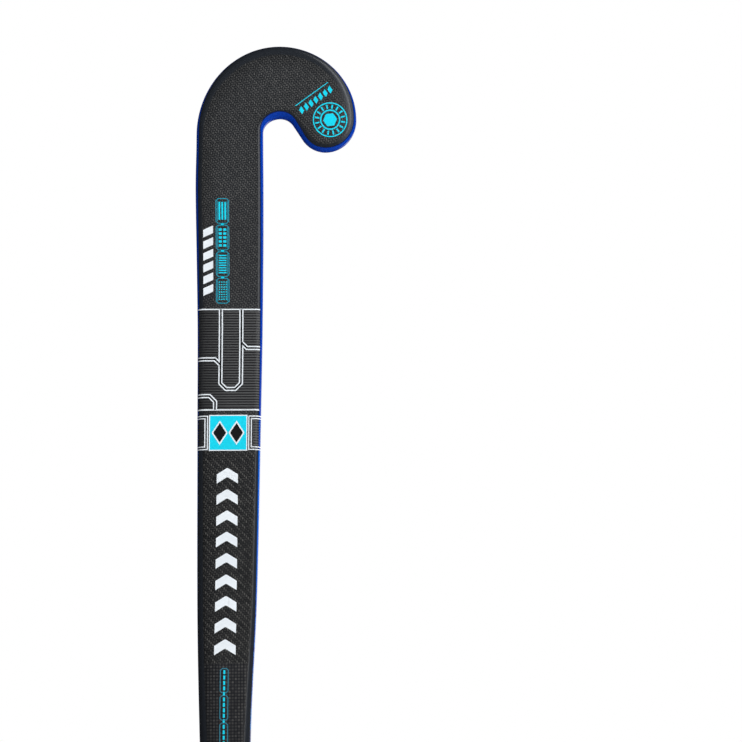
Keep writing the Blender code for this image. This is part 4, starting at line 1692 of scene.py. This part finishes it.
@dataclass
class BackPrints(Prints):
    """Print on the lacquered back of the shaft and the toe."""

    surface: BVHTree
    arrow: Triple = (11.0, 6.6, 8.4)
    arrows: Copies = Copies((9.4, 678.5), 8, 20.9)
    badge: tuple[float, ...] = (639.4, 665.2, 13.6, 1.2)
    stripe_low: float = 536.0
    stripe_rows: int = 56
    stripe_pitch: float = 1.82
    stripe: float = 0.9
    flanks: tuple[tuple[str, float, float], ...] = (("toe", -30.5, -11.2), ("heel", 15.6, 30.5))
    flank_stripes: Copies = Copies((0.0, stripe_low + 0.6), stripe_rows, stripe_pitch)
    fields: tuple[Pair, ...] = ((-11.2, -1.9), (7.3, 15.6))
    field_band: Pair = (7.4, 0.7)
    field_bands: Copies = Copies((-10.2, stripe_low + 0.8), stripe_rows - 1, stripe_pitch)
    dot_ground: Pair = (-1.9, 7.3)
    dot: float = 0.9
    dot_flat: float = 0.5
    dots: Copies = Copies((0.4, stripe_low + 1.6), 44, 2.3, 3, 2.3)
    clear_strip: tuple[float, ...] = (0.2, 8.0, 462.0, 533.0)
    slash: Triple = (2.9, 0.5, 3.6)
    slashes: Copies = Copies((4.1, 466.4), 5, 5.6)
    small_bar: Pair = (3.0, 1.3)
    small_bars: Copies = Copies((2.6, 500.5), 11, 2.7)
    toe_badge: Pair = (76.0, 874.5)
    toe_badge_turn: float = -30.0

    def build(self) -> None:
        """Draws and lays each print."""
        shared = (self.form, self.repeats, self.looks)
        self.rows("back_arrows", self.form.back_wrap(Level.FIRST), Look.WHITE_INK,
                  Flat().arrow(*self.arrow), self.arrows)
        ShaftBadge(*shared, *self.badge).build("back_badge", self.form.back_wrap, Look.NAVY_INK)
        self.stripes()
        self.lower_marks()
        ToeBadge(*shared).build("back_toe_badge", self.form.toe_wrap(
            Level.FIRST, self.toe_badge, self.toe_badge_turn, self.surface))

    def stripes(self) -> None:
        """Dark stripes over both flanks, azure fields, and white dots on a dark strip."""
        first, second = self.form.back_wrap(Level.FIRST), self.form.back_wrap(Level.SECOND)
        ends = (self.stripe_low, self.stripe_low + self.stripe_rows * self.stripe_pitch)
        for name, left, right in self.flanks:
            self.rows(f"{name}_stripes", first, Look.NAVY_INK,
                      Flat().area(left, right, 0.0, self.stripe), self.flank_stripes)
        fields = Flat()
        for left, right in self.fields:
            fields.area(left, right, *ends)
        fields.lay("back_fields", first, self.looks[Look.AZURE_INK])
        self.rows("back_field_bands", second, Look.PALE_AZURE_INK, Flat().bar(*self.field_band),
                  self.field_bands)
        Flat().area(*self.dot_ground, *ends).lay("back_dot_ground", first, self.looks[Look.NAVY_INK])
        dot = Flat().lozenge((0.0, 0.0), self.dot, self.dot, 1.0, self.dot / 2, self.dot_flat)
        self.rows("back_dots", second, Look.WHITE_INK, dot, self.dots)

    def lower_marks(self) -> None:
        """Clear strip in the speckled field, with white and azure bars on it."""
        second = self.form.back_wrap(Level.SECOND)
        Flat().area(*self.clear_strip).lay(
            "back_clear_strip", self.form.back_wrap(Level.FIRST), self.looks[Look.NAVY_INK])
        self.rows("back_slashes", second, Look.WHITE_INK, Flat().slash(*self.slash), self.slashes)
        self.rows("back_small_bars", second, Look.AZURE_INK, Flat().bar(*self.small_bar),
                  self.small_bars)


@dataclass
class Grip:
    """Wound grip, with dark discs of painted shade for its holes."""

    form: StickForm
    repeats: Repeats
    looks: Looks
    low: float = 5.3 * MM
    top: float = 300 * MM
    pitch: float = 24.6 * MM
    width: float = 24.0 * MM
    lead: float = 3 * MM
    base: float = 1.6 * MM
    thick: float = 1.5 * MM
    girth: float = math.tau * 17.1 * MM
    steps: int = 72
    shoulders: tuple[Pair, ...] = (
        (0.0, 0.0), (0.006, 0.45), (0.02, 0.72), (0.05, 0.87), (0.10, 0.94), (0.25, 0.98),
        (0.5, 1.0), (0.75, 0.98), (0.90, 0.94), (0.95, 0.87), (0.98, 0.72), (0.994, 0.45),
        (1.0, 0.0),
    )
    hole_turns: int = 10
    holes_per_turn: int = 30
    first_hole_turn: float = 1.2
    first_hole_share: float = 0.2
    hole_row_share: float = 0.12
    hole_radius: float = 0.45 * MM
    hole_lift: float = 0.02 * MM
    hole_corners: int = 8
    drawn_pitch: float = 10.0

    def build(self) -> None:
        """Builds the strip and its holes."""
        self.strip()
        self.holes()

    def span(self, turn: float) -> tuple[float, float]:
        """Lower and upper edge of the strip after some turns, cut level at both ends."""
        upper = self.low + self.pitch * turn
        return max(self.low, upper - self.width), min(self.top, upper)

    def strip(self) -> None:
        """One strip wound up the handle, with rounded edges and a low crown."""
        first = self.lead / self.pitch
        last = (self.top - self.low + self.width - self.lead) / self.pitch
        count = math.ceil((last - first) * self.steps)
        mesh = bmesh.new()
        along = mesh.loops.layers.uv.new("grip")
        rows = []
        for k in range(count + 1):
            turn = first + (last - first) * k / count
            lower, upper = self.span(turn)
            rows.append([mesh.verts.new(self.form.handle_point(
                lower + (upper - lower) * share, math.tau * turn, self.base + self.thick * height))
                for share, height in self.shoulders])
        size = len(self.shoulders)
        for k, (a, b) in enumerate(zip(rows, rows[1:])):
            for j in range(size):
                following = (j + 1) % size
                side = mesh.faces.new((a[j], b[j], b[following], a[following]))
                ends = ((k, j), (k + 1, j), (k + 1, j + 1), (k, j + 1))
                for loop, (run, share) in zip(side.loops, ends):
                    loop[along].uv = (run / self.steps * self.girth, share / size * self.width)
        mesh.faces.new(rows[0])
        mesh.faces.new(rows[-1])
        bmesh.ops.recalc_face_normals(mesh, faces=mesh.faces)
        piece("wound_grip", mesh, [self.looks[Look.GRIP_POLYMER]], "grip_tape", 50.0)

    def on_strip(self, across: float, up: float, lift: float) -> Vector:
        """Point on the strip's top for one of the drawing of holes.

        Args:
            across: place along the strip, where holes are a drawn pitch apart.
            up: place over its width, where rows are a drawn pitch apart.
            lift: height off the drawing, in millimetres.

        Returns:
            The point.
        """
        half = self.drawn_pitch / 2
        column, row = round(across / half), round(up / half)
        off_x = (across - column * half) * self.hole_radius
        off_y = (up - row * half) * self.hole_radius
        turn = self.first_hole_turn + column / 2 / self.holes_per_turn + off_x / self.girth
        share = self.first_hole_share + row * self.hole_row_share + off_y / self.width
        lower, upper = self.span(turn)
        crown = self.thick * float(np.interp(share, *zip(*self.shoulders)))
        return self.form.handle_point(lower + (upper - lower) * share, math.tau * turn,
                                      self.base + crown + self.hole_lift + lift * MM)

    def holes(self) -> None:
        """Rows of small dark discs along the strip, painted shade standing in for its holes, in two
        staggered sets.
        """
        disc, pitch, look = bmesh.new(), self.drawn_pitch, self.looks[Look.GRIP_HOLE]
        bmesh.ops.create_circle(disc, cap_ends=True, radius=1.0, segments=self.hole_corners)
        flat = self.repeats.run(
            self.repeats.grid, disc, Columns=self.holes_per_turn * self.hole_turns, Rows=3,
            Pitch_Across=pitch, Pitch_Up=pitch, Material=look)
        both = Flat().add(flat.copy()).add(flat, (pitch / 2, pitch / 2))
        # The discs are painted shade in place of cut holes.
        both.lay("grip_holes", self.on_strip, look)


@dataclass
class GripBand:
    """Vinyl band over the grip's end, which steps down on to the shaft."""

    form: StickForm
    looks: Looks
    low: float = 288 * MM
    step: float = 300.3 * MM
    top: float = 322 * MM
    over: float = 3.4 * MM
    under: float = 0.3 * MM
    thick: float = 0.7 * MM
    rounding: float = 0.3 * MM
    edge_share: float = 0.6
    inner_slope: float = 3 * MM
    outer_start: float = 0.4 * MM
    outer_slope: float = 3.6 * MM
    slope_steps: int = 10
    steps: int = 96
    lap: Pair = (0.55, 0.78)
    lap_thick: float = 0.12 * MM
    lap_from: float = 0.5 * MM

    def build(self) -> None:
        """Builds the band."""
        low, step, top, under = self.low, self.step, self.top, self.under
        outside, edge = self.over + self.thick, self.thick * self.edge_share
        outline = [(low, self.over), (step, self.over), (step + self.inner_slope, under),
                   (top, under), (top, under + edge), (top - self.rounding, under + self.thick)]
        for share in shares(self.slope_steps)[::-1]:
            outline.append((step + self.outer_start + self.outer_slope * share,
                            smooth(share, (0.0, 1.0), (outside, under + self.thick))))
        outline += [(low + self.rounding, outside), (low, self.over + edge)]
        mesh = bmesh.new()
        rings = []
        for z, off in outline:
            ring = []
            for share in shares(self.steps):
                lapped = self.lap[0] < share < self.lap[1] and off > under + self.lap_from and z > low
                ring.append(mesh.verts.new(self.form.handle_point(
                    z, math.tau * share, off + self.lap_thick * lapped)))
            rings.append(ring + ring[:1])
        quads(mesh, rings + rings[:1])
        bmesh.ops.recalc_face_normals(mesh, faces=mesh.faces)
        piece("grip_band", mesh, [self.looks[Look.BAND_VINYL]], "finishing_tape", 35.0)


@dataclass
class ButtCap:
    """Rubber end cap, smoothed, with moulded ribs round its side."""

    repeats: Repeats
    looks: Looks
    ribs: int = 56
    radius_x: float = 18.1 * MM
    radius_y: float = 16.1 * MM
    rib_middle: float = 2.5 * MM
    rib_size: tuple[float, ...] = mm(0.32, 0.42, 1.3)
    weld: float = 0.001 * MM

    def build(self) -> None:
        """Builds the cap and its ribs."""
        rubber = self.looks[Look.BUTT_RUBBER]
        mesh, rib, ring = bmesh.new(), bmesh.new(), bmesh.new()
        mesh.from_mesh(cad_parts["butt_cap"].data)
        bmesh.ops.remove_doubles(mesh, verts=mesh.verts, dist=self.weld)
        piece("end_cap", mesh, [rubber], "butt_cap", 50.0)
        bmesh.ops.create_uvsphere(rib, u_segments=8, v_segments=6, radius=1.0)
        bmesh.ops.scale(rib, vec=self.rib_size, verts=rib.verts)
        bmesh.ops.translate(rib, vec=(0.0, 0.0, self.rib_middle), verts=rib.verts)
        ribs = self.repeats.run(self.repeats.round, rib, Count=self.ribs, Radius_X=self.radius_x,
                                Radius_Y=self.radius_y, Material=rubber)
        ring.from_mesh(ribs)
        bpy.data.meshes.remove(ribs)
        piece("end_cap_ribs", ring, [rubber], None)


@dataclass
class InnerPieces:
    """Solids inside the stick, which keep their form and get their finishes."""

    looks: Looks
    finishes: tuple[tuple[str, Look], ...] = (
        ("head_core", Look.RIGID_FOAM),
        ("hook_face_ply", Look.ARAMID_CLOTH),
        ("heel_tube", Look.INNER_CARBON),
        ("toe_tube", Look.INNER_CARBON),
        ("centre_web", Look.INNER_CARBON),
        ("heel_bladder", Look.BLADDER_FILM),
        ("toe_bladder", Look.BLADDER_FILM),
        ("heel_plug", Look.RIGID_FOAM),
        ("toe_plug", Look.RIGID_FOAM),
        ("handle_cushion", Look.SLEEVE_FOAM),
    )

    def build(self) -> None:
        """Gives each solid its material."""
        for node, look in self.finishes:
            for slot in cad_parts[node].material_slots:
                slot.material = self.looks[look]
            log.info("%s: %s", node, look.name)


@dataclass(frozen=True)
class Lamp:
    """Soft box that looks at the middle of the stick."""

    name: str
    place: Triple
    width: float
    height: float
    watts: float
    mirrored: bool = False


@dataclass
class Studio:
    """Pale floor, soft lights and the camera of the photograph."""

    eye: Triple = (0.030, -1.200, 0.4635)
    aim: Triple = (0.1045, 0.0, 0.698)
    roll: float = -0.86
    lens: float = 82.316
    middle: Triple = (0.03, 0.0, 0.55)
    floor_radius: float = 3.0
    floor_gap: float = 0.2 * MM
    floor_grey: Colour = (0.80, 0.80, 0.80, 1.0)
    floor_whitens: Pair = (0.5, 2.8)
    ambient: Colour = (0.24, 0.24, 0.25, 1.0)
    reflected: Colour = (0.02, 0.02, 0.02, 1.0)
    lamps: tuple[Lamp, ...] = (
        Lamp("front_soft", (0.3, -2.6, 0.8), 2.0, 1.8, 14.0),
        Lamp("front_key", (1.9, -1.7, 0.9), 1.8, 1.8, 22.0),
        Lamp("front_strip", (1.3, -1.5, 1.35), 0.7, 2.5, 17.0, mirrored=True),
        Lamp("back_soft", (0.3, 2.6, 0.8), 2.0, 1.8, 25.0),
        Lamp("back_key", (1.9, 1.7, 0.9), 1.8, 1.8, 29.0),
        Lamp("back_strip", (1.1, 1.7, 0.9), 0.8, 1.6, 5.5, mirrored=True),
    )

    def build(self) -> None:
        """Builds the floor, the lights, the backdrop and the camera."""
        self.floor()
        self.lights()
        self.backdrop()
        self.camera()

    def floor(self) -> None:
        """Round pale floor under the butt, which grows white towards its edge."""
        mesh = bmesh.new()
        bmesh.ops.create_circle(mesh, cap_ends=True, radius=self.floor_radius, segments=96)
        bmesh.ops.translate(mesh, vec=(0, 0, -self.floor_gap), verts=mesh.verts)
        data = bpy.data.meshes.new("studio_floor")
        mesh.to_mesh(data)
        mesh.free()
        look = bpy.data.materials.new("studio_paper")
        coat = Coat(look)
        away = coat.add("ShaderNodeVectorMath", coat.place, operation="LENGTH").outputs["Value"]
        seen = coat.add("ShaderNodeLightPath").outputs["Is Camera Ray"]
        coat.set(Base_Color=self.floor_grey, Roughness=0.9, Emission_Color=WHITE,
                 Emission_Strength=coat.sum(
                     "MULTIPLY", coat.ramp(away, *self.floor_whitens), seen))
        data.materials.append(look)
        floor = bpy.data.objects.new("studio_floor", data)
        floor.visible_glossy = False
        bpy.context.scene.collection.objects.link(floor)

    def lights(self) -> None:
        """Soft boxes, and a strip on each side that alone is mirrored in the stick."""
        for lamp in self.lamps:
            data = bpy.data.lights.new(lamp.name, "AREA")
            data.shape = "RECTANGLE"
            data.size, data.size_y, data.energy = lamp.width, lamp.height, lamp.watts
            made = bpy.data.objects.new(lamp.name, data)
            made.location = lamp.place
            way = Vector(self.middle) - Vector(lamp.place)
            made.rotation_euler = way.to_track_quat("-Z", "Y").to_euler()
            made.visible_glossy = lamp.mirrored
            bpy.context.scene.collection.objects.link(made)

    def backdrop(self) -> None:
        """White to the camera, and a softer grey light from all round."""
        world = bpy.data.worlds.new("studio")
        bpy.context.scene.world = world
        world.use_nodes = True
        graph = Graph(world.node_tree)
        ray = graph.add("ShaderNodeLightPath").outputs
        around = graph.mix(ray["Is Glossy Ray"], self.ambient, self.reflected)
        graph.feed(world.node_tree.nodes["Background"].inputs["Color"],
                   graph.mix(ray["Is Camera Ray"], around, WHITE))
        bpy.context.scene.view_settings.view_transform = "Standard"

    def camera(self) -> None:
        """Camera at the photograph's place, without shift."""
        data = bpy.data.cameras.new("photo_camera")
        data.lens = self.lens
        data.sensor_width = 36.0
        camera = bpy.data.objects.new("photo_camera", data)
        forward = (Vector(self.aim) - Vector(self.eye)).normalized()
        right = forward.cross(Vector((0, 0, 1))).normalized()
        up = right.cross(forward)
        c, s = math.cos(math.radians(self.roll)), math.sin(math.radians(self.roll))
        axes = Matrix((right * c + up * s, up * c - right * s, -forward)).transposed()
        camera.matrix_world = Matrix.Translation(self.eye) @ axes.to_4x4()
        bpy.context.scene.collection.objects.link(camera)
        bpy.context.scene.camera = camera


def main() -> None:
    """Dresses the stick from the shells outwards, then sets up the studio."""
    logging.basicConfig(level=logging.INFO, format="%(name)s: %(message)s")
    effects, repeats, form = Effects(), Repeats(), StickForm()
    looks = {look: look.value.build(look.name.lower(), effects) for look in Look}
    surface = Laminates(form, looks).build()
    FacePrints(form, repeats, looks).build()
    BackPrints(form, repeats, looks, surface).build()
    Grip(form, repeats, looks).build()
    GripBand(form, looks).build()
    ButtCap(repeats, looks).build()
    InnerPieces(looks).build()
    Studio().build()


if __name__ == "__main__":
    main()
